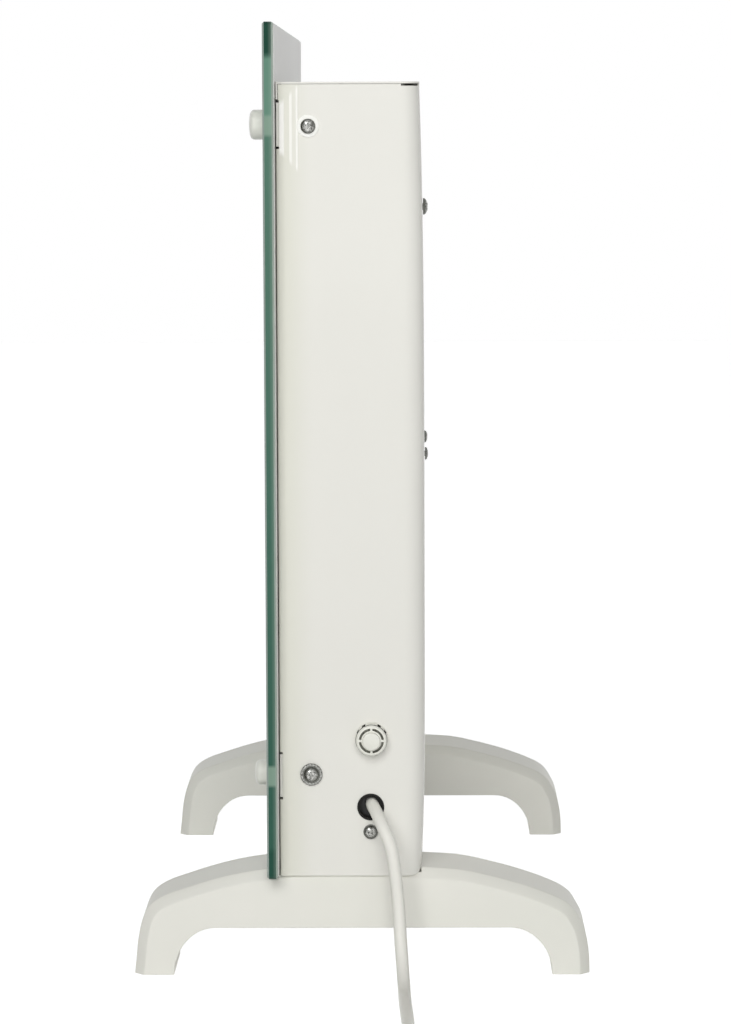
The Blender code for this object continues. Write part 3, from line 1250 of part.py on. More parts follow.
def plug():
    """Round two-pin mains plug on the end of the lead."""
    seat = (COIL_EXIT_X, PLUG_TAIL_Y, PLUG_AXIS_HEIGHT)
    bm = bmesh.new()
    add_turned(bm, "-Y", seat, [(0, 0), *PLUG_PROFILE, (0, PLUG_LENGTH)])
    solid("plug_body", bm, WHITE_PLASTIC, smooth=True)
    for side, sign in SIDES.items():
        foot_of_pin = (COIL_EXIT_X + sign * PLUG_PIN_SPREAD / 2, PLUG_TAIL_Y - PLUG_LENGTH, PLUG_AXIS_HEIGHT)
        bm = bmesh.new()
        add_turned(bm, "-Y", foot_of_pin, [
            (0, GAP), (PLUG_PIN_RADIUS, GAP), (PLUG_PIN_RADIUS, PLUG_PIN_LENGTH - PLUG_PIN_RADIUS / 2),
            (PLUG_PIN_RADIUS / 2, PLUG_PIN_LENGTH), (0, PLUG_PIN_LENGTH)], SMALL_ROUND_SIDES)
        solid(f"plug_pin_{side}", bm, BRASS, smooth=True)


def wires():
    """One wire from the element to the board, one from the terminals to it."""
    front = BOARD_Y - GAP
    pin_end = ELEMENT_RIGHT + ELEMENT_PIN_REACH + GAP
    pin_y = element_outline()[1]
    landing_x = BOARD_LEFT + WIRE_INSET
    landing_z = BOARD_HIGH - WIRE_INSET
    shield_face = SHIELD_X + BRACKET_PLATE + GAP
    route = [(pin_end, pin_y, ELEMENT_HEIGHT), (shield_face, pin_y, ELEMENT_HEIGHT),
             (shield_face + WIRE_RUN, pin_y, ELEMENT_HEIGHT),
             (landing_x, front - WIRE_RUN, landing_z), (landing_x, front, landing_z)]
    tube("element_wire", smooth_curve(route, WIRE_SPACING), WIRE_RADIUS, WIRE_BROWN)
    terminal_x = TERMINAL_RIGHT - TERMINAL[0] / 2
    terminal_top = FLOOR_PLATE_TOP + GAP + TERMINAL[2] + GAP
    landing_z = BOARD_LOW + WIRE_INSET
    route = [(terminal_x, DUCT_MIDDLE, terminal_top), (terminal_x, DUCT_MIDDLE, terminal_top + WIRE_RUN),
             (terminal_x, front - WIRE_RUN, landing_z), (terminal_x, front, landing_z)]
    tube("supply_wire", smooth_curve(route, WIRE_SPACING), WIRE_RADIUS, WIRE_BROWN)


def heater():
    """Build every piece."""
    glass_panel()
    for level in MOUNT_HEIGHTS:
        for side in SIDES:
            glass_cap(level, side)
            glass_spacer(level, side)
            glass_bracket(level, side)
    side_screws()
    casing_wrap()
    front_plate()
    top_grille()
    bottom_plate()
    rear_screws()
    for side in SIDES:
        foot(side)
        element_bracket(side)
    sensor_cap()
    sensor_probe()
    cord_grommet()
    cord_clamp()
    switch_housing()
    switch_rocker()
    heating_element()
    heat_shield()
    thermal_cutout()
    control_board()
    touch_board()
    floor_block("terminal_block", TERMINAL_RIGHT - TERMINAL[0], TERMINAL, BLACK_PLASTIC)
    floor_block("tilt_switch", TILT_LEFT, TILT, BLACK_PLASTIC)
    wires()
    cord()
    cord_tie()
    plug()


for old in list(bpy.data.objects):
    bpy.data.objects.remove(old, do_unlink=True)
heater()
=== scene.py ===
import math

import bmesh
import bpy
from mathutils import Matrix, Vector


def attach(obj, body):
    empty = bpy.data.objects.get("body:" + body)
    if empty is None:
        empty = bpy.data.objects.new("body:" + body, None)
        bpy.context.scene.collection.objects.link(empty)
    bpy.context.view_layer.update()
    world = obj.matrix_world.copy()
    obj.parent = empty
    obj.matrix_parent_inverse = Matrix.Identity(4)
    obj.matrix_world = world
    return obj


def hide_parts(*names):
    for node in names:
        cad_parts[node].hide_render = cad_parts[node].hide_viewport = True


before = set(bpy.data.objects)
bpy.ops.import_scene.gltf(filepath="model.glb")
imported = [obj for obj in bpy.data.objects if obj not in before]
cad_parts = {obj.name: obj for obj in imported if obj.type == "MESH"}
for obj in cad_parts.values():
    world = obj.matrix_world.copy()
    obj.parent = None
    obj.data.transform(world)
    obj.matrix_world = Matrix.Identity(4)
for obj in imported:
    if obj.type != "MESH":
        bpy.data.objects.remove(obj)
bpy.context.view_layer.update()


# The two feet
# Each is one injection moulding in white plastic: an arch with broad
# chamfers, hollow under its crown, and a shallow seat that the casing
# stands in. Two screws from inside the arch hold it to the floor plate.
FOOT_OUTER = 0.2435
FOOT_INNER = 0.1855
FOOT_LENGTH = 0.255
FOOT_HEIGHT = 0.060
# Share of the length from the front, and share of the height
FOOT_CURVE = (
    (0.0, 0.0), (0.004, 0.153), (0.008, 0.323), (0.014, 0.455), (0.022, 0.560), (0.034, 0.642),
    (0.048, 0.692), (0.065, 0.733), (0.112, 0.805), (0.165, 0.877), (0.224, 0.940), (0.285, 0.982),
    (0.635, 1.0), (0.727, 0.970), (0.778, 0.922), (0.831, 0.863), (0.897, 0.770), (0.919, 0.732),
    (0.945, 0.677), (0.963, 0.615), (0.976, 0.527), (0.986, 0.448), (0.994, 0.322), (0.999, 0.157),
    (1.0, 0.0))
CURVE_SPACING = 0.0028
ARCH_HEIGHT = 0.0266
ARCH_END = 0.0235
ARCH_FRONT = -0.1051
ARCH_REAR = 0.1064
SEAT_FRONT = -0.0526
SEAT_REAR = 0.0334
SEAT_FLOOR = 0.0564
SEAT_ROUND = 0.0044
SEAT_RIM = 0.0033
SEAT_TALL = 0.01
# How far out from the side face the rim is cut, and how far before the seat's rear
RIM_CUTS = ((-SEAT_RIM - 0.001, 0.0002), (0.002, 0.0051))
POCKETS = ((-0.0725, -0.00605), (-0.00305, 0.0685))
POCKET_WALL = 0.009
POCKET_ROOF = 0.004
# How far in from the side face, how far the crown is drawn in, and the arch
FOOT_EDGE = ((0, 0.0065, 0.0009), (0, 0.0059, 0.0004), (0.00012, 0.00545, 0.00012),
             (0.00045, 0.0050, 0), (0.0055, 0.00045, 0), (0.00595, 0.0001, 0), (0.0066, 0, 0),
             (0.0074, 0, 0))
SIDES = (("left", -1), ("right", 1))
# How far a cutting shape reaches past the faces that it cuts
PAST = 0.002


def tone(red, green, blue):
    """A colour as a colour card gives it, from 0 to 255, for a shader."""
    straight = []
    for level in (red / 255, green / 255, blue / 255):
        straight.append(level / 12.92 if level <= 0.04045 else ((level + 0.055) / 1.055) ** 2.4)
    return (*straight, 1.0)


def step(kind, sockets, tree=None, **settings):
    """Add a node to a tree, its own or that of its inputs, with its sockets set or joined."""
    for value in sockets.values():
        tree = value.id_data if isinstance(value, bpy.types.NodeSocket) else tree
    made = tree.nodes.new(kind)
    for name, value in settings.items():
        setattr(made, name, value)
    for name, value in sockets.items():
        if isinstance(value, bpy.types.NodeSocket):
            tree.links.new(value, made.inputs[name])
        else:
            made.inputs[name].default_value = value
    return made


def place_in(tree):
    """A place on the piece, in its own frame."""
    return step("ShaderNodeTexCoord", {}, tree).outputs["Object"]


def feed(source, socket):
    """Join a node's output to a socket."""
    socket.id_data.links.new(source, socket)


def ranged(value, low, high, bottom=0.0, top=1.0, **settings):
    """A value brought from one range into another."""
    sockets = {"Value": value, "From Min": low, "From Max": high, "To Min": bottom, "To Max": top}
    return step("ShaderNodeMapRange", sockets, **settings).outputs["Result"]


def mixed(share, first, second):
    """A colour between two others."""
    return step("ShaderNodeMix", {0: share, 6: first, 7: second}, data_type="RGBA").outputs[2]


def socket_of(finish, name):
    """A socket of a finish's shader."""
    return finish.node_tree.nodes["Principled BSDF"].inputs[name]


def raise_up(finish, height, distance):
    """Raise a finish by a height in its tree, over the grain that it has."""
    normal = socket_of(finish, "Normal")
    sockets = {"Height": height, "Distance": distance, "Strength": 1.0}
    if normal.links:
        sockets["Normal"] = normal.links[0].from_socket
    feed(step("ShaderNodeBump", sockets).outputs["Normal"], normal)


def new_finish(name, values):
    """A material with some of its shader's sockets set."""
    finish = bpy.data.materials.new(name)
    finish.use_nodes = True
    for socket, value in values.items():
        socket_of(finish, socket).default_value = value
    return finish


def grained(name, light, dark, patch, gloss, grain, relief, metallic=0.0, coat=0.0, specular=0.5):
    """A finish whose colour and gloss drift in soft patches, over a fine raised grain."""
    finish = new_finish(name, {"Metallic": metallic, "Coat Weight": coat, "Coat Roughness": 0.08,
                               "Specular IOR Level": specular})
    place = place_in(finish.node_tree)
    broad, fine = [step("ShaderNodeTexNoise", {"Vector": place, "Scale": 1 / size, "Detail": detail})
                   .outputs["Fac"] for size, detail in ((patch, 3.0), (grain, 2.0))]
    colour = mixed(ranged(broad, 0.35, 0.65), tone(*dark), tone(*light))
    feed(colour, socket_of(finish, "Base Color"))
    feed(ranged(broad, 0.3, 0.7, *gloss), socket_of(finish, "Roughness"))
    raise_up(finish, fine, relief)
    return finish


def linked(name, data):
    """Add an object with its data to the scene."""
    made = bpy.data.objects.new(name, data)
    bpy.context.scene.collection.objects.link(made)
    return made


def piece(name, bm, finish, sharp=30):
    """Make an object of a mesh, its faces outwards and its flat edges crisp."""
    bmesh.ops.recalc_face_normals(bm, faces=bm.faces)
    mesh = bpy.data.meshes.new(name)
    bm.to_mesh(mesh)
    bm.free()
    made = linked(name, mesh)
    mesh.materials.append(finish)
    crisp(made, sharp)
    return made


def crisp(made, sharp=30):
    """Shade a piece smooth, with an edge wherever its faces meet at more than an angle."""
    made.data.shade_smooth()
    made.data.set_sharp_from_angle(angle=math.radians(sharp))


def settle(made):
    """Turn a piece's modifiers into its plain mesh."""
    drawn = made.evaluated_get(bpy.context.evaluated_depsgraph_get())
    fresh = bpy.data.meshes.new_from_object(drawn)
    made.modifiers.clear()
    made.data = fresh


def carve(made, bm, operation="DIFFERENCE", sharp=30):
    """Take a tool's shape out of a piece, or add it."""
    tool = piece("tool", bm, made.data.materials[0])
    change = made.modifiers.new("carve", "BOOLEAN")
    change.operation = operation
    change.object = tool
    change.solver = "EXACT"
    settle(made)
    bpy.data.objects.remove(tool, do_unlink=True)
    crisp(made, sharp)


def box_in(bm, low, high):
    """Add a block between two corners."""
    spread = Vector(high) - Vector(low)
    middle = (Vector(high) + Vector(low)) / 2
    bmesh.ops.create_cube(bm, size=1, matrix=Matrix.LocRotScale(middle, None, spread))


def box_beside(bm, sign, across, along, up):
    """Add a block on one side, from its distances from the middle, its depths and its heights."""
    near, far = sorted(sign * x for x in across)
    box_in(bm, (near, along[0], up[0]), (far, along[1], up[1]))


def skin(bm, rings, capped=True):
    """Join rings of points with faces, and cap the first and last."""
    rows = [[bm.verts.new(point) for point in ring] for ring in rings]
    for first, second in zip(rows, rows[1:]):
        for i in range(len(first)):
            j = (i + 1) % len(first)
            bm.faces.new((first[i], first[j], second[j], second[i]))
    if capped:
        bm.faces.new(rows[0])
        bm.faces.new(rows[-1][::-1])


def even_curve(points, spacing, fine_steps=24):
    """Points at an even spacing along a smooth curve through the given ones."""
    knots = [Vector(point) for point in points]
    spans = [(after - before).length for before, after in zip(knots, knots[1:])]
    slopes = [(after - before) / span for before, after, span in zip(knots, knots[1:], spans)]
    tangents = [slopes[0]]
    for i in range(1, len(slopes)):
        tangents.append((slopes[i - 1] * spans[i] + slopes[i] * spans[i - 1]) / (spans[i - 1] + spans[i]))
    tangents.append(slopes[-1])
    fine = []
    for i, span in enumerate(spans):
        for j in range(fine_steps):
            t = j / fine_steps
            ease = t * t * (3 - 2 * t)
            lead_in = tangents[i] * span * t * (1 - t) ** 2
            lead_out = tangents[i + 1] * span * t * t * (t - 1)
            fine.append(knots[i] * (1 - ease) + knots[i + 1] * ease + lead_in + lead_out)
    fine.append(knots[-1])
    length = sum((after - before).length for before, after in zip(fine, fine[1:]))
    count = round(length / spacing)
    even = [fine[0]]
    travelled = 0
    for before, after in zip(fine, fine[1:]):
        span = (after - before).length
        while len(even) < count and travelled + span >= length / count * len(even):
            even.append(before.lerp(after, (length / count * len(even) - travelled) / span))
        travelled += span
    return even + [fine[-1]]


def drawn_in(line, amount):
    """A line of points moved to its right by an amount."""
    moved = []
    for i, point in enumerate(line):
        run = (line[min(i + 1, len(line) - 1)] - line[max(i - 1, 0)]).normalized()
        moved.append(Vector((point.x + run.y * amount, point.y - run.x * amount)))
    return moved


def swept(first, last, steps):
    """Cosines and sines at even steps between two angles in degrees."""
    angles = [math.radians(first + (last - first) * i / steps) for i in range(steps + 1)]
    return [(math.cos(angle), math.sin(angle)) for angle in angles]


def lower_round(face, out, radius, low):
    """A quarter round between an upright face and a level one below it."""
    return [(face - out * radius * (1 - s), low + radius * (1 - c)) for c, s in swept(0, 90, 8)]


def foot_outline(crown_in, arch_in):
    """The foot from its side, its crown and arch drawn in."""
    crown = even_curve([(FOOT_LENGTH * (y - 0.5), FOOT_HEIGHT * z, 0) for y, z in FOOT_CURVE], CURVE_SPACING)
    crown = drawn_in([point.to_2d() for point in crown], crown_in)
    quarter = swept(0, 90, 14)
    arch = [Vector((ARCH_REAR - ARCH_END * (1 - c), ARCH_HEIGHT * s)) for c, s in quarter]
    arch += [Vector((ARCH_FRONT + ARCH_END * (1 - c), ARCH_HEIGHT * s)) for c, s in quarter[::-1]]
    arch = drawn_in(arch, arch_in)
    for end in (crown[0], crown[-1], arch[0], arch[-1]):
        end.y = arch_in
    return crown + arch


foot_white = grained("foot_plastic", (239, 238, 230), (235, 235, 226), 0.09, (0.34, 0.42), 0.0011,
                     0.000008, specular=0.10)
for side, sign in SIDES:
    edge = [(FOOT_OUTER - inward, crown, arch) for inward, crown, arch in FOOT_EDGE]
    edge += [(FOOT_INNER + inward, crown, arch) for inward, crown, arch in FOOT_EDGE[::-1]]
    bm = bmesh.new()
    skin(bm, [[(sign * x, *point) for point in foot_outline(crown, arch)] for x, crown, arch in edge])
    foot = piece(f"moulded_foot_{side}", bm, foot_white)
    bm = bmesh.new()
    box_beside(bm, sign, (FOOT_OUTER - SEAT_RIM, FOOT_INNER - PAST), (SEAT_FRONT, SEAT_REAR),
               (SEAT_FLOOR, SEAT_FLOOR + SEAT_TALL))
    carve(foot, bm)
    bm = bmesh.new()
    rings = []
    for out, before in RIM_CUTS:
        rear = SEAT_REAR - before
        seat = [(SEAT_FRONT, SEAT_FLOOR + SEAT_TALL), (SEAT_FRONT, SEAT_FLOOR)]
        seat += [*lower_round(rear, 1, SEAT_ROUND, SEAT_FLOOR), (rear, SEAT_FLOOR + SEAT_TALL)]
        rings.append([(sign * (FOOT_OUTER + out), y, z) for y, z in seat])
    skin(bm, rings)
    carve(foot, bm)
    bm = bmesh.new()
    for pocket in POCKETS:
        box_beside(bm, sign, (FOOT_OUTER - POCKET_WALL, FOOT_INNER + POCKET_WALL), pocket,
                   (ARCH_HEIGHT - PAST, SEAT_FLOOR - POCKET_ROOF))
    carve(foot, bm)
    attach(foot, "heater")
    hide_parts(f"foot_{side}")


# The casing's floor and top, with their slots
# Both are 1 mm steel, punched with two rows of round-ended slots and powder
# coated white. The floor plate is screwed to the feet, and the top cover has
# a lip across the casing's front and a skirt inside each of its sides.
SHEET = 0.001
CASING_FRONT = -0.0452
CASING_REAR = 0.0333
CASING_SIDE = 0.2455
CASING_LOW = 0.0567
CASING_TOP = 0.4952
REAR_BEND = 0.010
DUCT_MIDDLE = -0.00455
INNER_SIDE = 0.2442
SLOT_WIDTH = 0.005
SLOT_DEPTH = 0.006
LIP_LOW = 0.4870
SKIRT = ((-0.0421, 0.0233), (0.4890, 0.4960))
# How far separate pieces stand apart
GAP = 0.0003


def socket_values(made, tree, values):
    """Run a tree on a piece with the named inputs set, and keep the result."""
    change = made.modifiers.new("tree", "NODES")
    change.node_group = tree
    for item in tree.interface.items_tree:
        if item.item_type == "SOCKET" and item.in_out == "INPUT" and item.name in values:
            change[item.identifier] = values[item.name]
    settle(made)


def new_tree(name, inputs):
    """An empty tree with a geometry input, named inputs and a geometry output."""
    tree = bpy.data.node_groups.new(name, "GeometryNodeTree")
    tree.interface.new_socket("Geometry", in_out="INPUT", socket_type="NodeSocketGeometry")
    for label, kind in inputs:
        tree.interface.new_socket(label, in_out="INPUT", socket_type="NodeSocket" + kind)
    tree.interface.new_socket("Geometry", in_out="OUTPUT", socket_type="NodeSocketGeometry")
    return tree, tree.nodes.new("NodeGroupInput").outputs


def sum_of(operation, first, second=0.0):
    """The result of one sum in a tree."""
    return step("ShaderNodeMath", {0: first, 1: second}, operation=operation).outputs[0]


def times(first, second):
    """The product of two values in a tree."""
    return sum_of("MULTIPLY", first, second)


def plus(first, second):
    """The sum of two values in a tree."""
    return sum_of("ADD", first, second)


def vector_of(x, y, z):
    """A vector in a tree."""
    return step("ShaderNodeCombineXYZ", {"X": x, "Y": y, "Z": z}).outputs[0]


def parts_of(place):
    """The three parts of a place in a tree."""
    return step("ShaderNodeSeparateXYZ", {0: place}).outputs


def shape(kind, sockets, **settings):
    """The result of one geometry node in a tree."""
    return step("GeometryNode" + kind, sockets, **settings).outputs[0]


def joined(shapes):
    """Several shapes in a tree as one."""
    both = step("GeometryNodeJoinGeometry", {0: shapes[0]})
    for one in shapes[1:]:
        feed(one, both.inputs[0])
    return both.outputs[0]


def finished(tree, whole, given):
    """Give a tree's result its material, as plain geometry, and close the tree."""
    real = shape("RealizeInstances", {"Geometry": whole})
    coated = shape("SetMaterial", {"Geometry": real, "Material": given["Finish"]})
    step("NodeGroupOutput", {"Geometry": coated})
    return tree


def moved_by(whole, x, y, z):
    """A shape moved in a tree."""
    return shape("Transform", {"Geometry": whole, "Translation": vector_of(x, y, z)})


def both_ways(whole, amount):
    """A shape twice, moved forwards and back by an amount."""
    return joined([moved_by(whole, 0.0, times(amount, direction), 0.0) for direction in (-1.0, 1.0)])


def slot_tree():
    """Punch two rows of round-ended slots through a plate."""
    tree, given = new_tree("slots", (("Count", "Int"), ("Pitch", "Float"), ("Length", "Float"),
                                     ("Width", "Float"), ("Row Offset", "Float"), ("Depth", "Float"),
                                     ("Middle", "Vector"), ("Finish", "Material")))
    radius = times(given["Width"], 0.5)
    shift = sum_of("SUBTRACT", times(given["Length"], 0.5), radius)
    drum = shape("MeshCylinder", {"Vertices": 20, "Radius": radius, "Depth": given["Depth"]})
    punch = shape("ConvexHull", {"Geometry": both_ways(drum, shift)})
    gaps = sum_of("SUBTRACT", given["Count"], 1.0)
    start = times(times(given["Pitch"], gaps), -0.5)
    row = shape("MeshLine", {"Count": given["Count"], "Start Location": vector_of(start, 0.0, 0.0),
                             "Offset": vector_of(given["Pitch"], 0.0, 0.0)})
    punches = shape("InstanceOnPoints", {"Points": both_ways(row, given["Row Offset"]), "Instance": punch})
    placed = shape("Transform", {"Geometry": punches, "Translation": given["Middle"]})
    real = shape("RealizeInstances", {"Geometry": placed})
    cut = shape("MeshBoolean", {"Mesh 1": given["Geometry"], "Mesh 2": real}, operation="DIFFERENCE",
                solver="EXACT")
    return finished(tree, cut, given)


def rounded(low, high, radii, steps=8):
    """Outline of a rectangle with a round at each corner, from the high-low one round."""
    outline = []
    corners = ((high[0], low[1], -90, -1, 1), (high[0], high[1], 0, -1, -1),
               (low[0], high[1], 90, 1, -1), (low[0], low[1], 180, 1, 1))
    for (u, v, first, across, over), radius in zip(corners, radii):
        outline += [(u + across * radius + radius * c, v + over * radius + radius * s)
                    for c, s in swept(first, first + 90, steps)]
    return outline


# The coat's tones, patch, gloss, grain, relief, metal, clear coat and specular level
CASING_COAT = ((236, 235, 228), (233, 232, 225), 0.16, (0.20, 0.27), 0.0024, 0.000008, 0.0, 0.1, 0.3)
casing_white = grained("casing_paint", *CASING_COAT)
slotted = slot_tree()
# Each plate's outline and faces, and its slots: how many, their pitch and length, and the rows' offset
plates = {
    "slotted_floor": (rounded((-INNER_SIDE, -0.0434), (INNER_SIDE, 0.0320), (0.0015, 0.010, 0.010, 0.0015)),
                      CASING_LOW, CASING_LOW + SHEET, 16, 0.020, 0.024, 0.016),
    "slotted_top": (rounded((-CASING_SIDE, CASING_FRONT), (CASING_SIDE, CASING_REAR),
                            (0.0008, REAR_BEND, REAR_BEND, 0.0008)),
                    CASING_TOP + GAP, CASING_TOP + GAP + SHEET, 24, 0.0185, 0.027, 0.0165),
}
for name, (outline, low, high, count, pitch, length, offset) in plates.items():
    bm = bmesh.new()
    skin(bm, [[(x, y, z) for x, y in outline] for z in (low, high)])
    plate = piece(name, bm, casing_white)
    socket_values(plate, slotted, {"Count": count, "Pitch": pitch, "Length": length, "Width": SLOT_WIDTH,
                                   "Row Offset": offset, "Depth": SLOT_DEPTH, "Finish": casing_white,
                                   "Middle": (0.0, DUCT_MIDDLE, (low + high) / 2)})
    if name == "slotted_top":
        bm = bmesh.new()
        box_in(bm, (-CASING_SIDE, CASING_FRONT, LIP_LOW),
               (CASING_SIDE, CASING_FRONT + SHEET, low + SHEET / 2))
        for sign in (-1, 1):
            box_beside(bm, sign, (INNER_SIDE, INNER_SIDE - SHEET), *SKIRT)
        carve(plate, bm, "UNION")
    crisp(plate)
    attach(plate, "heater")
    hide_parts({"slotted_floor": "bottom_plate", "slotted_top": "top_grille"}[name])


# The wrap: both sides and the rear
# One 1 mm steel sheet, bent to 10 mm rounds at the rear and turned in at the
# front edges, with the rear left slightly bowed, then powder coated white.
# It is notched where the glass brackets pass and pierced for its fittings.
FRONT_BEND = 0.0012
FRONT_TURN = 0.012
FRONT_CORNER = 0.0016
CASING_BOW = 0.0024
SIDE_LINE = 0.0053
SCREW_LINE = -0.0276
MOUNT_HEIGHTS = {"upper": 0.4733, "lower": 0.1130}
SCREW_HEIGHTS = {"upper": 0.4724, "lower": 0.1139}
SENSOR_HEIGHT = 0.1340
SENSOR_LINE = 0.0059
CORD_HEIGHT = 0.0955
CLAMP_SCREW_HEIGHT = 0.0816
SWITCH_HEIGHT = 0.1200
# The round holes, the notches for the brackets and half the switch's opening
SCREW_HOLE = 0.0023
SENSOR_HOLE = 0.0064
CORD_HOLE = 0.0069
CLAMP_HOLE = 0.0021
HOLE_DEPTH = 0.003
NOTCH_IN = 0.014
NOTCH_HALF = 0.0133
NOTCH_DEPTH = 0.0017
SWITCH_HALF_WIDTH = 0.0076
SWITCH_HALF_HEIGHT = 0.0149
WRAP_STEPS = 32
CUT_SIDE = 0.25


def bow(height):
    """How far the rear stands out at a height."""
    middle = (CASING_LOW + CASING_TOP) / 2
    share = min(abs(height - middle) / (CASING_TOP - middle), 1)
    return CASING_BOW * (1 - share ** (3 if height > middle else 6))


def wrap_path(inset):
    """The wrap in plan, at an inset into its sheet."""
    path = [(-CASING_SIDE + FRONT_TURN, CASING_FRONT + inset)]
    bends = ((-1, CASING_FRONT, FRONT_BEND, 5, 270, 180), (-1, CASING_REAR, REAR_BEND, 16, 180, 90),
             (1, CASING_REAR, REAR_BEND, 16, 90, 0), (1, CASING_FRONT, FRONT_BEND, 5, 0, -90))
    for sign, face, radius, steps, first, last in bends:
        centre_x = sign * (CASING_SIDE - radius)
        centre_y = face + (radius if face == CASING_FRONT else -radius)
        path += [(centre_x + (radius - inset) * c, centre_y + (radius - inset) * s)
                 for c, s in swept(first, last, steps)]
    path.append((CASING_SIDE - FRONT_TURN, CASING_FRONT + inset))
    return path


def peg(bm, seat, direction, radius, low, high, sides=48):
    """Add a round peg about a direction from a seat."""
    turn = Vector((0, 0, 1)).rotation_difference(Vector(direction))
    middle = Vector(seat) + Vector(direction) * (low + high) / 2
    bmesh.ops.create_cone(bm, cap_ends=True, segments=sides, radius1=radius, radius2=radius, depth=high - low,
                          matrix=Matrix.LocRotScale(middle, turn, None))


# Places across the side, and how far the sheet stands out there
WAVES = ((-0.0445, 0.0), (-0.0437, 0.0), (-0.0431, 1.0), (-0.0412, 1.0), (-0.0405, 0.1),
         (-0.0381, 0.05), (-0.0377, 0.75), (-0.0367, 0.75), (-0.0362, 0.1), (-0.0344, 0.1),
         (-0.0341, 1.0), (-0.0335, 1.0), (-0.0331, 0.0), (-0.0300, 0.0))
WAVE_RELIEF = 0.00012
WAVE_HEIGHT = MOUNT_HEIGHTS["upper"] - 0.002
WAVE_FADE = 0.004
# Two places across the side, and half the waves' length or the painted front shade's share there
WAVE_REACH = (-0.0420, -0.0338, 0.0120, 0.0205)
FRONT_SHADE_REACH = (-0.0425, -0.0240, 0.9, 0.0)
FRONT_SHADE_TONE = tone(224, 224, 212)
# The bright tone on the waves' crests is a painted highlight, the lamps' reflection in them
WAVE_HIGHLIGHT_TONE = tone(251, 250, 245)


def pressed(finish):
    """Shallow upright waves that the screws draw in the sheet, with a painted highlight on their crests, and
    painted shade near its front, where the glass shades it.
    """
    apart = parts_of(place_in(finish.node_tree))
    front, rear = WAVES[0][0], WAVES[-1][0]
    wave = step("ShaderNodeFloatCurve", {"Value": ranged(apart["Y"], front, rear)})
    points = wave.mapping.curves[0].points
    while len(points) < len(WAVES):
        points.new(0.5, 0.5)
    for point, (y, high) in zip(points, WAVES):
        point.location = ((y - front) / (rear - front), high)
    wave.mapping.update()
    off = sum_of("ABSOLUTE", sum_of("SUBTRACT", apart["Z"], WAVE_HEIGHT))
    past = sum_of("SUBTRACT", off, ranged(apart["Y"], *WAVE_REACH))
    window = ranged(past, 0.0, WAVE_FADE, 1.0, 0.0, interpolation_type="SMOOTHSTEP")
    height = times(wave.outputs[0], window)
    raise_up(finish, height, WAVE_RELIEF)
    colour = socket_of(finish, "Base Color")
    # Darker towards the front edge: painted shade from the glass, mixed in as thin
    thin = ranged(apart["Y"], *FRONT_SHADE_REACH, interpolation_type="SMOOTHSTEP")
    edge = mixed(thin, colour.links[0].from_socket, FRONT_SHADE_TONE)
    # The waves' height also mixes in the painted highlight tone
    feed(mixed(height, edge, WAVE_HIGHLIGHT_TONE), colour)
    return finish


loop = wrap_path(0) + wrap_path(SHEET)[::-1]
rings = []
for i in range(WRAP_STEPS + 1):
    height = CASING_LOW + (CASING_TOP - CASING_LOW) * i / WRAP_STEPS
    ring = []
    for x, y in loop:
        share = min(max((y - CASING_REAR + REAR_BEND) / (REAR_BEND - SHEET), 0), 1)
        ring.append((x, y + bow(height) * share, height))
    rings.append(ring)
bm = bmesh.new()
skin(bm, rings)
wrap = piece("bent_wrap", bm, pressed(grained("wrap_paint", *CASING_COAT)), sharp=40)
bm = bmesh.new()
for sign in (-1, 1):
    for height in SCREW_HEIGHTS.values():
        peg(bm, (sign * CASING_SIDE, SCREW_LINE, height), (1, 0, 0), SCREW_HOLE, -HOLE_DEPTH, HOLE_DEPTH, 24)
    notch = (CASING_SIDE - NOTCH_IN, CASING_SIDE + PAST)
    for height in MOUNT_HEIGHTS.values():
        box_beside(bm, sign, notch, (CASING_FRONT - PAST, CASING_FRONT + NOTCH_DEPTH),
                   (height - NOTCH_HALF, height + NOTCH_HALF))
    box_beside(bm, sign, notch, (CASING_FRONT - PAST, CASING_FRONT + SHEET + GAP),
               (LIP_LOW - GAP, CASING_TOP + PAST))
    box_beside(bm, sign, (CASING_SIDE - REAR_BEND, CASING_SIDE + PAST),
               (CASING_REAR - REAR_BEND, CASING_REAR + 2 * PAST), (CASING_TOP - SHEET, CASING_TOP + PAST))
for y, height, radius in ((SENSOR_LINE, SENSOR_HEIGHT, SENSOR_HOLE), (SIDE_LINE, CORD_HEIGHT, CORD_HOLE),
                          (SIDE_LINE, CLAMP_SCREW_HEIGHT, CLAMP_HOLE)):
    peg(bm, (CASING_SIDE, y, height), (1, 0, 0), radius, -HOLE_DEPTH, HOLE_DEPTH)
box_in(bm, (-CASING_SIDE - PAST, SIDE_LINE - SWITCH_HALF_WIDTH, SWITCH_HEIGHT - SWITCH_HALF_HEIGHT),
       (-CASING_SIDE + HOLE_DEPTH, SIDE_LINE + SWITCH_HALF_WIDTH, SWITCH_HEIGHT + SWITCH_HALF_HEIGHT))
for face, radius, out in ((CASING_FRONT, FRONT_CORNER, -1), (CASING_REAR, SEAT_ROUND, 1)):
    waste = lower_round(face, out, radius, CASING_LOW)
    beyond, below = face + out * 2 * PAST, CASING_LOW - PAST
    waste += [(beyond, CASING_LOW + radius), (beyond, below), (waste[0][0], below)]
    skin(bm, [[(x, y, z) for y, z in waste] for x in (-CUT_SIDE, CUT_SIDE)])
carve(wrap, bm, sharp=40)
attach(wrap, "heater")
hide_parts("casing_wrap")


# Steel and inner pieces that keep their solid shape
# The front plate and the glass brackets are painted like the casing, and the
# shield is zinc sheet. The element is an aluminium extrusion, and the boards
# and switches are bought-in parts on the casing's floor, side and rear.
POWER_BOARD_FRONT = 0.0190
TOUCH_BOARD_REAR = -0.040


def dress(finish, *names):
    """Give a finish to pieces whose solid shape stays."""
    for name in names:
        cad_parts[name].data.materials.clear()
        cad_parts[name].data.materials.append(finish)


corners = [f"{level}_{side}" for level in MOUNT_HEIGHTS for side in ("left", "right")]
dress(casing_white, "front_plate", *[f"glass_bracket_{corner}" for corner in corners])
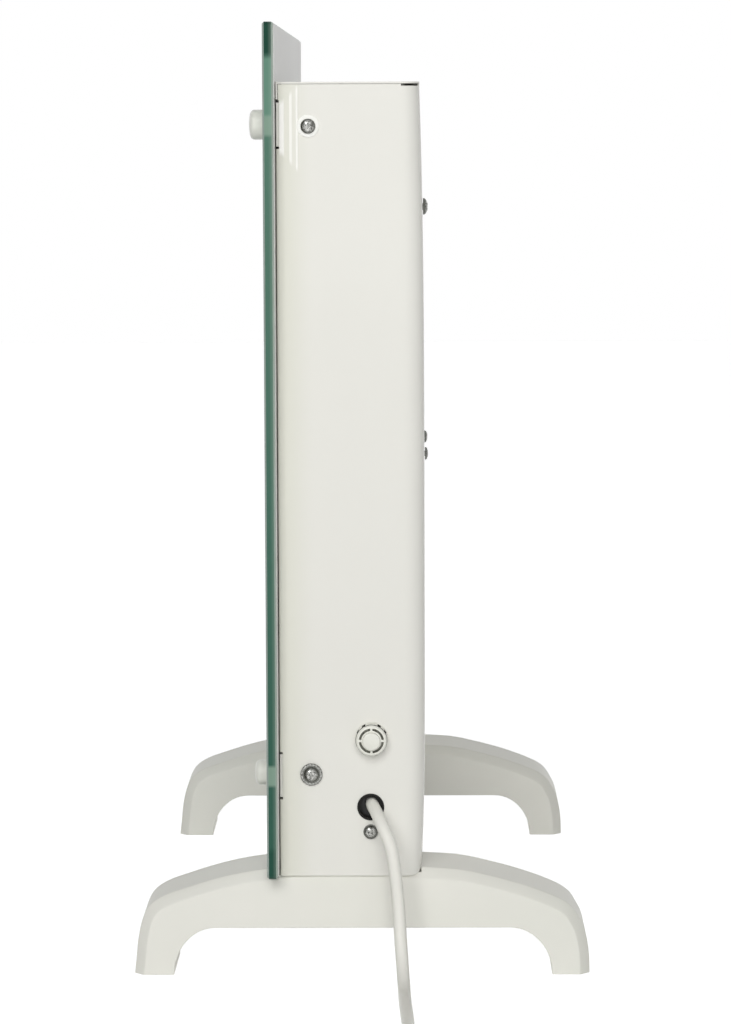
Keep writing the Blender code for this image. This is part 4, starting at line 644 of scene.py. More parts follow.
# Each finish's tones, patch, gloss, grain, relief and metal, and the nodes that have it
inner_finishes = {
    "zinc_sheet": (((176, 177, 176), (158, 160, 160), 0.012, (0.28, 0.42), 0.0016, 0.000004, 1.0),
                   ("element_bracket_left", "element_bracket_right", "heat_shield")),
    "element_alloy": (((196, 198, 200), (180, 182, 185), 0.02, (0.30, 0.42), 0.0008, 0.000005, 1.0),
                      ("heating_element",)),
    "clear_washer": (((206, 206, 202), (196, 197, 192), 0.004, (0.45, 0.60), 0.0006, 0.000006),
                     [f"glass_spacer_{corner}" for corner in corners]),
    "black_moulding": (((32, 32, 32), (26, 26, 26), 0.006, (0.38, 0.50), 0.0004, 0.00001),
                       ("cord_clamp", "thermal_cutout", "tilt_switch", "terminal_block", "sensor_probe",
                        "switch_housing")),
    "wire_sleeve": (((124, 78, 48), (112, 70, 44), 0.006, (0.42, 0.52), 0.0006, 0.000004),
                    ("element_wire", "supply_wire")),
}
for name, (look, nodes) in inner_finishes.items():
    dress(grained(name, *look), *nodes)


def board_finish():
    """Green solder mask with lighter tracks, and black parts in front of it."""
    finish = grained("board_mask", (38, 112, 66), (32, 96, 58), 0.01, (0.28, 0.36), 0.0008, 0.000005)
    place = place_in(finish.node_tree)
    tracks = step("ShaderNodeTexBrick", {"Vector": place, "Scale": 90.0, "Mortar Size": 0.012,
                                         "Color1": tone(38, 112, 66), "Color2": tone(34, 103, 61),
                                         "Mortar": tone(82, 150, 98)})
    y = parts_of(place)["Y"]
    between = times(sum_of("LESS_THAN", y, POWER_BOARD_FRONT),
                    sum_of("GREATER_THAN", y, TOUCH_BOARD_REAR))
    feed(mixed(between, tracks.outputs["Color"], tone(40, 42, 46)), socket_of(finish, "Base Color"))
    return finish


dress(board_finish(), "control_board", "touch_board")


# The glass front
# A 6 mm tempered pane with round corners and ground edges that show the
# green of the glass, held off the casing by four stand-offs. Its back is
# painted white, with plain touch keys left in the paint over their board.
GLASS_SIDE = 0.260
GLASS_LOW = 0.0570
GLASS_HIGH = 0.5290
GLASS_FRONT = -0.0520
GLASS_REAR = -0.0460
GLASS_CORNER = 0.003
GLASS_ARRIS = 0.0010
MOUNT_X = 0.233
EDGE_DEEP = (38, 78, 65)
EDGE_UNDER_TOP = (24, 64, 51)
EDGE_LOW = (54, 94, 80)
EDGE_HIGH = (82, 118, 102)
EDGE_TOP = (98, 136, 119)
# The edge's pale tone at each cap is a painted reflection of the cap in the glass
EDGE_CAP_REFLECTION = (128, 154, 138)
EDGE_BACK = (168, 184, 172)
# Two places across the edge, and how much of its back's tone shows at each
BACK_FADE = (GLASS_REAR - 0.0030, GLASS_REAR - GLASS_ARRIS, 0.0, 0.22)
# Shares of its height between which its tone changes, at the lower and the upper end
EDGE_ENDS = (0.034, 0.037, 0.957, 0.963)
# How far above each mount the painted reflection of the cap shows in the edge, and half its height
CAP_REFLECTION_SPAN = {"upper": (-0.0008, 0.0055), "lower": (0.0022, 0.0051)}
CAP_REFLECTION_FADE = 1.08
# Radius and depth of the holes for the screws
GLASS_HOLE = (0.004, 0.007)
PAINT_HOLE = (0.0042, 0.004)
PAINT_IN = 0.0012
PAINT_FRONT = GLASS_REAR + 0.00003
PAINT_REAR = GLASS_REAR + 0.0004
PRINT_FRONT = GLASS_REAR + 0.00001
PRINT_REAR = GLASS_REAR + 0.00002
KEY_LINE = 0.170
KEY_PLACES = (0.153, 0.175, 0.197)
KEY_BAR = (0.0030, 0.0005)
KEY_RING = (0.0068, 0.0073)


def ramp_of(share, marks):
    """A colour that changes along a share, from its places and colours."""
    ramp = step("ShaderNodeValToRGB", {"Fac": share})
    stops = ramp.color_ramp.elements
    while len(stops) < len(marks):
        stops.new(0.5)
    for stop, (place, colour) in zip(stops, marks):
        stop.position = place
        stop.color = colour
    return ramp.outputs["Color"]


def edge_share(height):
    """How far up the pane a height is, from 0 to 1."""
    return (height - GLASS_LOW) / (GLASS_HIGH - GLASS_LOW)


def edge_finish():
    """Ground glass edge: deep green at the ends, paler upwards and to the rear, with a painted reflection of
    each cap at its height.
    """
    finish = grained("ground_glass_edge", EDGE_HIGH, EDGE_LOW, 0.02, (0.30, 0.38), 0.0007, 0.000004,
                     specular=0.12)
    tones = [(0.0, EDGE_DEEP), (EDGE_ENDS[0], EDGE_DEEP), (EDGE_ENDS[1], EDGE_LOW)]
    for level, below, over in (("lower", EDGE_LOW, EDGE_LOW), ("upper", EDGE_HIGH, EDGE_TOP)):
        raised, half = CAP_REFLECTION_SPAN[level]
        for reach, colour in ((-CAP_REFLECTION_FADE, below), (-1.0, EDGE_CAP_REFLECTION), (1.0, EDGE_CAP_REFLECTION),
                              (CAP_REFLECTION_FADE, over)):
            tones.append((edge_share(MOUNT_HEIGHTS[level] + raised + reach * half), colour))
    tones += [(EDGE_ENDS[2], EDGE_TOP), (EDGE_ENDS[3], EDGE_UNDER_TOP), (1.0, EDGE_UNDER_TOP)]
    apart = parts_of(place_in(finish.node_tree))
    up = ramp_of(ranged(apart["Z"], GLASS_LOW, GLASS_HIGH),
                 [(place, tone(*colour)) for place, colour in tones])
    back = ranged(apart["Y"], *BACK_FADE)
    feed(mixed(back, up, tone(*EDGE_BACK)), socket_of(finish, "Base Color"))
    return finish


def glass_finish():
    """Clear tempered glass, faintly uneven as rolled glass is."""
    finish = new_finish("clear_glass", {"Base Color": (0.93, 0.97, 0.95, 1), "Roughness": 0.02, "IOR": 1.52,
                                        "Transmission Weight": 1.0})
    wave = step("ShaderNodeTexNoise", {"Vector": place_in(finish.node_tree), "Scale": 7.0, "Detail": 1.0})
    raise_up(finish, wave.outputs["Fac"], 0.00003)
    return finish


def upright(bm, stations):
    """Add a body like the pane, from places front to rear and how far it is drawn in at each."""
    rings = []
    for y, inward in stations:
        low = (-GLASS_SIDE + inward, GLASS_LOW + inward)
        high = (GLASS_SIDE - inward, GLASS_HIGH - inward)
        outline = rounded(low, high, [GLASS_CORNER - inward] * 4, 10)
        rings.append([(x, y, z) for x, z in outline])
    skin(bm, rings)


def mount_pegs(bm, y, radius, depth):
    """Add a peg where each of the four screws passes through the pane."""
    for sign in (-1, 1):
        for height in MOUNT_HEIGHTS.values():
            peg(bm, (sign * MOUNT_X, y, height), (0, 1, 0), radius, -PAST, depth, 32)


bm = bmesh.new()
upright(bm, ((GLASS_FRONT, GLASS_ARRIS), (GLASS_FRONT + GLASS_ARRIS, 0), (GLASS_REAR - GLASS_ARRIS, 0),
             (GLASS_REAR, GLASS_ARRIS)))
pane = piece("glass_pane", bm, glass_finish())
bm = bmesh.new()
mount_pegs(bm, GLASS_FRONT, *GLASS_HOLE)
carve(pane, bm)
pane.data.materials.append(edge_finish())
for name, light, dark in (("front_arris", (150, 162, 156), (143, 156, 149)),
                          ("rear_arris", (164, 178, 168), (158, 172, 161))):
    pane.data.materials.append(grained(name, light, dark, 0.02, (0.34, 0.44), 0.0006, 0.000004))
# The faces stay clear, the edge is ground, and so are the front and rear arrises
for face in pane.data.polygons:
    lean = abs(face.normal.y)
    face.material_index = 0 if lean > 0.95 else 1 if lean < 0.3 else 2 if face.normal.y < 0 else 3
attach(pane, "heater")
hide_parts("glass_panel")

# The paint's front is whiter than its back: the back's darker tone is painted shade on the face turned from
# the lamps, and the front is seen through the glass
PAINT_COAT = (0.2, (0.30, 0.38), 0.002, 0.000005)
bm = bmesh.new()
upright(bm, ((PAINT_FRONT, PAINT_IN), (PAINT_REAR, PAINT_IN)))
# The rear faces take a darker copy of the white paint as painted shade
paint = piece("glass_back_paint", bm, grained("back_paint", (198, 198, 195), (195, 195, 192), *PAINT_COAT))
bm = bmesh.new()
mount_pegs(bm, GLASS_REAR, *PAINT_HOLE)
carve(paint, bm)
paint.data.materials.append(grained("front_of_paint", (238, 240, 236), (235, 237, 233), *PAINT_COAT))
for face in paint.data.polygons:
    face.material_index = 1 if face.normal.y < -0.5 else 0
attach(paint, "heater")


def ring_of(bm, place, radii, faces, sides):
    """Add a flat ring, from a function that gives the place of each point on it."""
    (inner, outer), (low, high) = radii, faces
    profile = ((inner, low), (outer, low), (outer, high), (inner, high))
    rows = [[place(radius * c, radius * s, lift) for radius, lift in profile]
            for c, s in swept(0, 360, sides)[:-1]]
    skin(bm, rows + rows[:1], capped=False)
    bmesh.ops.remove_doubles(bm, verts=bm.verts, dist=0.000001)


bm = bmesh.new()
for x, bars in ((KEY_PLACES[0], (KEY_BAR,)), (KEY_PLACES[2], (KEY_BAR, KEY_BAR[::-1]))):
    for wide, high in bars:
        box_in(bm, (x - wide, PRINT_FRONT, KEY_LINE - high), (x + wide, PRINT_REAR, KEY_LINE + high))
for x in KEY_PLACES:
    ring_of(bm, lambda u, v, y: (x + u, y, KEY_LINE + v), KEY_RING, (PRINT_FRONT, PRINT_REAR), 48)
key_grey = grained("key_print", (120, 122, 122), (112, 114, 114), 0.01, (0.40, 0.50), 0.0006, 0.000002)
keys = piece("touch_key_print", bm, key_grey)
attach(keys, "heater")


# The caps on the glass
# White moulded caps, each on the head of the screw that passes through the
# glass and its washer into a bracket. The upper two are larger.
def turned_piece(name, finish, seat, direction, profile, sides=48, sharp=30):
    """Make a piece turned about a direction, from (radius, height) points."""
    turn = Vector((0, 0, 1)).rotation_difference(Vector(direction))
    bm = bmesh.new()
    rows = []
    for radius, height in profile:
        around = swept(0, 360, sides)[:sides if radius > 0 else 1]
        rows.append([bm.verts.new(Vector(seat) + turn @ Vector((radius * c, radius * s, height)))
                     for c, s in around])
    if profile[0][0] > 0:
        rows.append(rows[0])
    for first, second in zip(rows, rows[1:]):
        for i in range(sides):
            j = (i + 1) % sides
            face = [row[k % len(row)] for row, k in ((first, i), (first, j), (second, j), (second, i))]
            bm.faces.new(dict.fromkeys(face))
    return piece(name, bm, finish, sharp)


CAP_SHANK = ((0, -0.0179), (0.0021, -0.0179), (0.0025, -0.0172), (0.0025, GAP))
CAP_ARRIS = 0.0003
# The radius and height of the caps
CAP_SIZES = {"upper": (0.0082, 0.0083), "lower": (0.0070, 0.0074)}
# The domed end: how far out as a share of the radius, and how far below its middle
CAP_END = ((1.0, 0.0028), (0.994, 0.0024), (0.976, 0.0021), (0.955, 0.0018), (0.925, 0.0015),
           (0.885, 0.0012), (0.83, 0.00094), (0.76, 0.0007), (0.68, 0.0005), (0.56, 0.00031),
           (0.42, 0.00016), (0.27, 0.00006), (0, 0))
cap_white = grained("cap_plastic", (227, 228, 219), (221, 222, 213), 0.02, (0.24, 0.32), 0.0007, 0.000004)
for level, (radius, height) in CAP_SIZES.items():
    for side, sign in SIDES:
        profile = [*CAP_SHANK, (radius - CAP_ARRIS, GAP), (radius, GAP + CAP_ARRIS)]
        profile += [(radius * out, height - drop) for out, drop in CAP_END]
        seat = (sign * MOUNT_X, GLASS_FRONT, MOUNT_HEIGHTS[level])
        cap = turned_piece(f"glass_cap_{level}_{side}_moulded", cap_white, seat, (0, -1, 0), profile)
        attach(cap, "heater")
        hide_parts(f"glass_cap_{level}_{side}")


# The screws
# Zinc-plated pan heads with a cross recess: five in the sides, three in the
# rear and four in the feet. The upper side screws sit on white washers, and
# the lower ones and the one under the lead's hole have a flange.
# How a head is domed and narrows: a power, and how much is taken off
HEAD_CROWN = (2.4, -0.48)
HEAD_TAPER = (3.0, -0.12)
# The recess: its length and width in head radii, and its bars' height in head heights
RECESS = (1.20, 0.26, 1.30)
FLANGE_HEIGHT = 0.0009
# Under a head without a flange, a share of its radius and the height of what is left
NO_FLANGE = (0.98, 0.0001)
WASHER_HEIGHT = 0.001


def out_from_axis(tree, given):
    """The three parts of a point's place, and how many head radii it is from the screw's axis."""
    x, y, z = parts_of(step("GeometryNodeInputPosition", {}, tree).outputs[0])
    squares = plus(times(x, x), times(y, y))
    return x, y, z, sum_of("DIVIDE", sum_of("SQRT", squares), given["Head Radius"])


def screw_tree():
    """A pan-head screw at every point, each turned to where it was driven."""
    tree, given = new_tree("pan_heads", (
        ("Head Radius", "Float"), ("Head Height", "Float"), ("Shank Radius", "Float"),
        ("Shank Length", "Float"), ("Flange Radius", "Float"), ("Flange Height", "Float"),
        ("Facing", "Vector"), ("Seed", "Int"), ("Finish", "Material")))
    radius, height, base = given["Head Radius"], given["Head Height"], given["Flange Height"]
    blank = shape("MeshCylinder", {"Vertices": 36, "Side Segments": 6, "Fill Segments": 6,
                                   "Radius": radius, "Depth": height}, fill_type="TRIANGLE_FAN")
    x, y, z, out = out_from_axis(tree, given)
    up = plus(sum_of("DIVIDE", z, height), 0.5)
    drop = times(sum_of("POWER", out, HEAD_CROWN[0]), HEAD_CROWN[1])
    crown = times(up, plus(drop, 1.0))
    high = plus(times(crown, height), base)
    drawn = times(sum_of("POWER", up, HEAD_TAPER[0]), HEAD_TAPER[1])
    narrow = plus(drawn, 1.0)
    place = vector_of(times(x, narrow), times(y, narrow), high)
    shaped = shape("SetPosition", {"Geometry": blank, "Position": place})
    long, thin = [times(radius, share) for share in RECESS[:2]]
    deep = times(height, RECESS[2])
    top = plus(height, base)
    recess = step("GeometryNodeMeshBoolean", {"Mesh 1": shaped}, operation="DIFFERENCE", solver="EXACT")
    for wide, tall in ((long, thin), (thin, long)):
        bar = shape("MeshCube", {"Size": vector_of(wide, tall, deep)})
        feed(moved_by(bar, 0.0, 0.0, top), recess.inputs["Mesh 2"])
    drums = [recess.outputs["Mesh"]]
    for name, length, share in (("Flange", base, 0.5), ("Shank", given["Shank Length"], -0.5)):
        drum = shape("MeshCylinder", {"Vertices": 36, "Fill Segments": 8, "Radius": given[name + " Radius"],
                                      "Depth": length}, fill_type="TRIANGLE_FAN")
        drums.append(moved_by(drum, 0.0, 0.0, times(length, share)))
    # Each point's distance from the axis is kept for the painted highlight and shade on the plate
    sheen_marked = shape("StoreNamedAttribute", {"Geometry": joined(drums), "Name": "out",
                                         "Value": out_from_axis(tree, given)[3]},
                 data_type="FLOAT", domain="POINT")
    facing = step("FunctionNodeAlignRotationToVector", {"Vector": given["Facing"]}, axis="Z")
    screws = shape("InstanceOnPoints", {"Points": given["Geometry"], "Instance": sheen_marked,
                                        "Rotation": facing.outputs[0]})
    spin = step("FunctionNodeRandomValue", {2: 0.0, 3: math.pi / 2, "Seed": given["Seed"]})
    driven = shape("RotateInstances", {"Instances": screws, "Local Space": True,
                                       "Rotation": vector_of(0.0, 0.0, spin.outputs[1])})
    return finished(tree, driven, given)


# How far the plate is darkened, by half the distance from the axis in head radii: painted shade at the rim
# and painted highlights in the light rings between
PAINTED_SHEEN_MARKS = ((0.0, 0.25), (0.26, 0.08), (0.40, 0.70), (0.49, 1.0), (0.58, 0.85), (0.64, 0.25),
               (0.70, 0.55), (0.755, 0.90))


def plated_finish():
    """Zinc plate, with painted highlights and painted shade in bright and dark rings from the middle of a
    head to its rim.
    """
    finish = grained("zinc_plate", (222, 222, 218), (84, 85, 81), 0.0009, (0.20, 0.32), 0.0006, 0.000014,
                     metallic=1.0)
    colour = socket_of(finish, "Base Color")
    out = step("ShaderNodeAttribute", {}, finish.node_tree, attribute_name="out").outputs["Fac"]
    painted_sheen = ramp_of(times(out, 0.5), [(place, (share, share, share, 1)) for place, share in PAINTED_SHEEN_MARKS])
    # Painted highlight and shade: the plate's colour darkened in rings
    feed(mixed(painted_sheen, colour.links[0].from_socket, tone(92, 93, 88)), colour)
    return finish


def rear_seat(x, height):
    """Where a screw sits on the bowed rear."""
    return x, CASING_REAR + bow(height) + GAP, height


bright_zinc = plated_finish()
driven_in = screw_tree()
# Each head's radius and height, and its shank's
SIDE_HEAD = (0.0041, 0.0026, 0.0019, 0.009)
REAR_LARGE = (0.0046, 0.0026, 0.0019, 0.008)
REAR_SMALL = (0.0036, 0.0017, 0.0015, 0.007)
CLAMP_HEAD = (0.0034, 0.0021, 0.0017, 0.007)
FOOT_HEAD = (0.0045, 0.0026, 0.0020, 0.012)
# Each group's head, flange radius, facing and seed, and where its screws sit
screw_groups = {
    "clamp_screw": (CLAMP_HEAD, 0.0041, (1, 0, 0), 4, {
        "cord_clamp_screw": (CASING_SIDE + GAP, SIDE_LINE, CLAMP_SCREW_HEIGHT)}),
    "rear_large_screws": (REAR_LARGE, 0, (0, 1, 0), 9, {"rear_screw_upper_right": rear_seat(0.225, 0.428)}),
    "rear_small_screws": (REAR_SMALL, 0, (0, 1, 0), 2, {
        f"rear_screw_middle_{name}": rear_seat(x, 0.291)
        for name, x in (("right", 0.225), ("inner", 0.109))}),
    "foot_screws": (FOOT_HEAD, 0, (0, 0, -1), 5, {
        f"foot_screw_{name}_{side}": (sign * 0.2145, y, 0.0521)
        for name, y in (("front", -0.02655), ("rear", 0.01745)) for side, sign in SIDES}),
}
for side, sign in SIDES:
    screw_groups[f"flanged_screw_{side}"] = (SIDE_HEAD, 0.0062, (sign, 0, 0), 7, {
        f"side_screw_lower_{side}": (sign * (CASING_SIDE + GAP), SCREW_LINE, SCREW_HEIGHTS["lower"])})
    screw_groups[f"washer_screw_{side}"] = (SIDE_HEAD, 0, (sign, 0, 0), 11, {
        f"side_screw_upper_{side}": (sign * (CASING_SIDE + WASHER_HEIGHT + GAP), SCREW_LINE,
                                     SCREW_HEIGHTS["upper"])})
for name, ((radius, height, shank, length), flange, facing, seed, seats) in screw_groups.items():
    mesh = bpy.data.meshes.new(name)
    mesh.from_pydata(list(seats.values()), [], [])
    screws = linked(name, mesh)
    socket_values(screws, driven_in, {
        "Head Radius": radius, "Head Height": height, "Shank Radius": shank, "Shank Length": length,
        "Flange Radius": flange or radius * NO_FLANGE[0],
        "Flange Height": FLANGE_HEIGHT if flange else NO_FLANGE[1],
        "Facing": Vector(facing), "Seed": seed, "Finish": bright_zinc})
    crisp(screws, 35)
    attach(screws, "heater")
    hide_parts(*seats)

WASHER = ((0.0023, 0.0001), (0.0062, 0.0001), (0.0062, 0.0004), (0.0059, 0.0007), (0.0054, 0.0009),
          (0.0048, WASHER_HEIGHT), (0.0023, WASHER_HEIGHT))
washer_white = grained("washer_plastic", (252, 252, 247), (249, 249, 243), 0.01, (0.40, 0.50), 0.0008,
                       0.000003)
for side, sign in SIDES:
    seat = (sign * CASING_SIDE, SCREW_LINE, SCREW_HEIGHTS["upper"])
    washer = turned_piece(f"white_washer_{side}", washer_white, seat, (sign, 0, 0), WASHER)
    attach(washer, "heater")
    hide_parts(f"side_washer_{side}")


# The room sensor's cap
# A white moulded cap that snaps into the side by its neck. Air passes over
# the sensor through four slots round its boss and vents in its wall.
VENT_ANGLES = (30, 61, 119, 150, 210, 241, 299, 330)
# The shell's section, from the axis inside to the axis outside: radius, and height over the casing
SENSOR_SHELL = (
    (0, 0.0113), (0.0035, 0.0113), (0.0035, 0.0083), (0.0076, 0.0083), (0.0076, 0.0015), (0.0048, 0.0015),
    (0.0048, -0.007), (0.0060, -0.007), (0.0060, 0.0003), (0.0088, 0.0003), (0.0090, 0.0006),
    (0.0088, 0.0072), (0.0086, 0.0082), (0.0083, 0.0089), (0.0079, 0.0093), (0.0073, 0.0095),
    (0.0050, 0.0095), (0.0049, 0.0097), (0.0048, 0.0121), (0.0047, 0.0123), (0.0045, 0.0124),
    (0.0042, 0.0125), (0, 0.0125))
# The slots in the face and the vents in the wall: two radii, sweep, two heights and steps
FACE_SLOT = (0.0056, 0.00695, 79, 0.0079, 0.0115, 10)
WALL_VENT = (0.0070, 0.0105, 13, 0.0020, 0.0080, 2)
# Between these two heights the slots' floor gets painted shade out to the second radius, and the vents' sides
# a darker painted shade beyond it
SHADE_HEIGHTS = (0.0010, 0.0084)
SHADE_RADII = (0.0030, 0.00765, 0.0087)


def sector(bm, middle, inner, outer, sweep, low, high, steps):
    """Add part of a ring about the sensor's axis."""
    around = swept(middle - sweep / 2, middle + sweep / 2, steps)
    outline = [(inner * c, inner * s) for c, s in around] + [(outer * c, outer * s) for c, s in around[::-1]]
    skin(bm, [[(CASING_SIDE + depth, SENSOR_LINE + y, SENSOR_HEIGHT + z) for y, z in outline]
              for depth in (low, high)])


sensor_white = grained("sensor_plastic", (238, 238, 229), (233, 233, 223), 0.02, (0.30, 0.38), 0.0007,
                       0.000004)
sensor = turned_piece("sensor_cap_moulded", sensor_white, (CASING_SIDE, SENSOR_LINE, SENSOR_HEIGHT),
                      (1, 0, 0), SENSOR_SHELL, sides=72, sharp=35)
bm = bmesh.new()
for quarter in range(4):
    sector(bm, 45 + 90 * quarter, *FACE_SLOT)
for middle in VENT_ANGLES:
    sector(bm, middle, *WALL_VENT)
carve(sensor, bm, sharp=35)
# Darker tones inside the slots and on the vents' sides: painted shade where little light gets in
for name, light, dark in (("sensor_slot_painted_shade", (186, 186, 174), (176, 176, 165)),
                          ("sensor_vent_painted_shade", (52, 52, 48), (44, 44, 41))):
    sensor.data.materials.append(grained(name, light, dark, 0.004, (0.70, 0.82), 0.0005, 0.00003))
for face in sensor.data.polygons:
    middle = face.center
    out = math.hypot(middle.y - SENSOR_LINE, middle.z - SENSOR_HEIGHT)
    within = SHADE_HEIGHTS[0] < middle.x - CASING_SIDE < SHADE_HEIGHTS[1]
    face.material_index = (1 if within and SHADE_RADII[0] < out < SHADE_RADII[1]
                           else 2 if within and SHADE_RADII[1] < out < SHADE_RADII[2] else 0)
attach(sensor, "heater")
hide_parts("sensor_cap")


# The bush in the lead's hole
# A black rubber ring, snapped over the edge of the sheet.
BUSH = ((0.0060, -0.0022), (0.0075, -0.0022), (0.0075, -0.0013), (0.0066, -0.0013), (0.0066, 0.0003),
        (0.0075, 0.0003), (0.0075, 0.0008), (0.0073, 0.0011), (0.0069, 0.0012), (0.0063, 0.0011),
        (0.0060, 0.0008))
bush_black = grained("bush_rubber", (27, 26, 25), (20, 19, 18), 0.005, (0.60, 0.74), 0.0007, 0.000012,
                     specular=0.25)
bush = turned_piece("lead_bush", bush_black, (CASING_SIDE, SIDE_LINE, CORD_HEIGHT), (1, 0, 0), BUSH,
                    sides=64)
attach(bush, "heater")
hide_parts("cord_grommet")


# The mains rocker
# A black rocker in a snap-in housing, in the side that the lead does not
# leave by, with the usual marks for on and off printed on its two halves.
rocker_black = grained("rocker_plastic", (38, 38, 40), (32, 32, 33), 0.01, (0.24, 0.34), 0.0005, 0.000006)
dress(rocker_black, "switch_rocker")
ROCKER_PIVOT = (-CASING_SIDE + 0.0015, SWITCH_HEIGHT)
ROCKER_VALLEY = 0.0034
ROCKER_TILT = math.radians(11)
MARK_PLACE = 0.0068
MARK_HALF = (0.0018, 0.0003)
MARK_RING = (0.0013, 0.0018)
MARK_FACES = (-0.0001, 0.00004)


def on_rocker(half, along, across, lift):
    """A point on the upper half, which stands out at rest, or on the lower one, which is upright."""
    lean = 2 * ROCKER_TILT if half > 0 else 0.0
    up = half * along * math.cos(lean) - lift * math.sin(lean) - ROCKER_VALLEY * math.sin(ROCKER_TILT)
    out = along * math.sin(lean) + lift * math.cos(lean) + ROCKER_VALLEY * math.cos(ROCKER_TILT)
    return ROCKER_PIVOT[0] - out, SIDE_LINE + across, ROCKER_PIVOT[1] + up


bm = bmesh.new()
bar = [(MARK_PLACE + along * MARK_HALF[0], across * MARK_HALF[1])
       for along, across in ((-1, -1), (1, -1), (1, 1), (-1, 1))]
skin(bm, [[on_rocker(1, along, across, lift) for along, across in bar] for lift in MARK_FACES])
ring_of(bm, lambda u, v, lift: on_rocker(-1, MARK_PLACE + v, u, lift), MARK_RING, MARK_FACES, 32)
mark_white = grained("mark_print", (226, 226, 222), (216, 216, 212), 0.003, (0.40, 0.50), 0.0004, 0.000003)
marks = piece("rocker_marks", bm, mark_white)
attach(marks, "rocker")


# The mains lead
# A round 7 mm lead with a white vinyl sheath. It comes out of its hole
# through the bush, drops to the floor in one bend, and its spare length is
# wound in two flat layers beside the heater and tied.
CORD_RADIUS = 0.0035
CORD_ON_FLOOR = 0.0036
CORD_LAID_Y = 0.0262
COIL_CENTRE_X = 0.520
COIL_CENTRE_Y = -0.0228
COIL_OUTER = 0.0490
COIL_PITCH = 0.0076
COIL_TURNS = 4.25
COIL_LOW = 0.0047
COIL_HIGH = 0.0123
COIL_EXIT_X = 0.569
COIL_EXIT_Y = -0.0298
PLUG_TAIL_Y = -0.078
PLUG_AXIS_HEIGHT = 0.0186
COIL_START_X = 0.513
COIL_STEPS = 48
KNOT_SPACING = 0.005
LEAD_ROUTE = (
    (0.2220, 0.0059, 0.0969), (0.2320, 0.0059, 0.0969), (0.2400, 0.0059, 0.0969), (0.2460, 0.0061, 0.0969),
    (0.2519, 0.0070, 0.0963), (0.2588, 0.0089, 0.0940), (0.2649, 0.0111, 0.0900), (0.2708, 0.0146, 0.0830),
    (0.2739, 0.0171, 0.0760), (0.2750, 0.0184, 0.0680), (0.2755, 0.0196, 0.0580), (0.2760, 0.0205, 0.0480),
    (0.2775, 0.0212, 0.0380), (0.2810, 0.0219, 0.0270), (0.2870, 0.0227, 0.0170), (0.2960, 0.0234, 0.0090),
    (0.3070, 0.0239, 0.0046), (0.3200, 0.0242, CORD_ON_FLOOR), (0.3350, 0.0246, CORD_ON_FLOOR),
    (0.3500, 0.0251, CORD_ON_FLOOR), (0.3650, 0.0256, CORD_ON_FLOOR), (0.3800, 0.0260, CORD_ON_FLOOR),
    (0.4000, CORD_LAID_Y, CORD_ON_FLOOR), (0.4300, CORD_LAID_Y, 0.0038), (0.4600, CORD_LAID_Y, 0.0043),
    (0.4850, CORD_LAID_Y, COIL_LOW), (0.5000, CORD_LAID_Y, COIL_LOW), (0.5127, CORD_LAID_Y, COIL_LOW))
TAIL_ROUTE = (
    (COIL_EXIT_X, -0.0301, COIL_HIGH), (COIL_EXIT_X, -0.0400, COIL_HIGH), (COIL_EXIT_X, -0.0460, 0.0126),
    (COIL_EXIT_X, -0.0520, 0.0137), (COIL_EXIT_X, -0.0580, 0.0155), (COIL_EXIT_X, -0.0640, 0.0172),
    (COIL_EXIT_X, -0.0700, 0.0183), (COIL_EXIT_X, PLUG_TAIL_Y + 0.0003, PLUG_AXIS_HEIGHT))


def wound():
    """Two layers of loops, inwards below and outwards above, turning clockwise."""
    middle = COIL_TURNS / 2
    points = [Vector((COIL_START_X, CORD_LAID_Y, COIL_LOW))]
    for i in range(round(COIL_TURNS * COIL_STEPS) + 1):
        turn = i / COIL_STEPS
        angle = math.pi / 2 - 2 * math.pi * turn
        radius = COIL_OUTER - COIL_PITCH * (middle - abs(turn - middle))
        share = min(max((turn - middle) * 2 + 0.5, 0), 1)
        climb = share * share * (3 - 2 * share)
        points.append(Vector((COIL_CENTRE_X + radius * math.cos(angle),
                              COIL_CENTRE_Y + radius * math.sin(angle),
                              COIL_LOW + (COIL_HIGH - COIL_LOW) * climb)))
    points.append(Vector((COIL_EXIT_X, COIL_EXIT_Y, COIL_HIGH)))
    return points


cord_white = grained("cord_sheath", (243, 242, 234), (239, 238, 230), 0.03, (0.38, 0.46), 0.0009, 0.000006)
course = even_curve(LEAD_ROUTE, KNOT_SPACING) + wound() + even_curve(TAIL_ROUTE, KNOT_SPACING)
line = bpy.data.curves.new("mains_lead", "CURVE")
line.dimensions = "3D"
line.bevel_depth = CORD_RADIUS
line.bevel_resolution = 5
line.use_fill_caps = True
spline = line.splines.new("POLY")
spline.points.add(len(course) - 1)
for knot, point in zip(spline.points, course):
    knot.co = (*point, 1)
spline.use_smooth = True
lead = linked("mains_lead", line)
line.materials.append(cord_white)
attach(lead, "heater")
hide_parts("cord_lead", "cord_coil", "cord_tail")


# The plug and the tie
# A round two-pin plug moulded on the lead's end, with grip rings and brass
# pins, and the black strap that holds the spare length.
GRIP_COUNT = 5
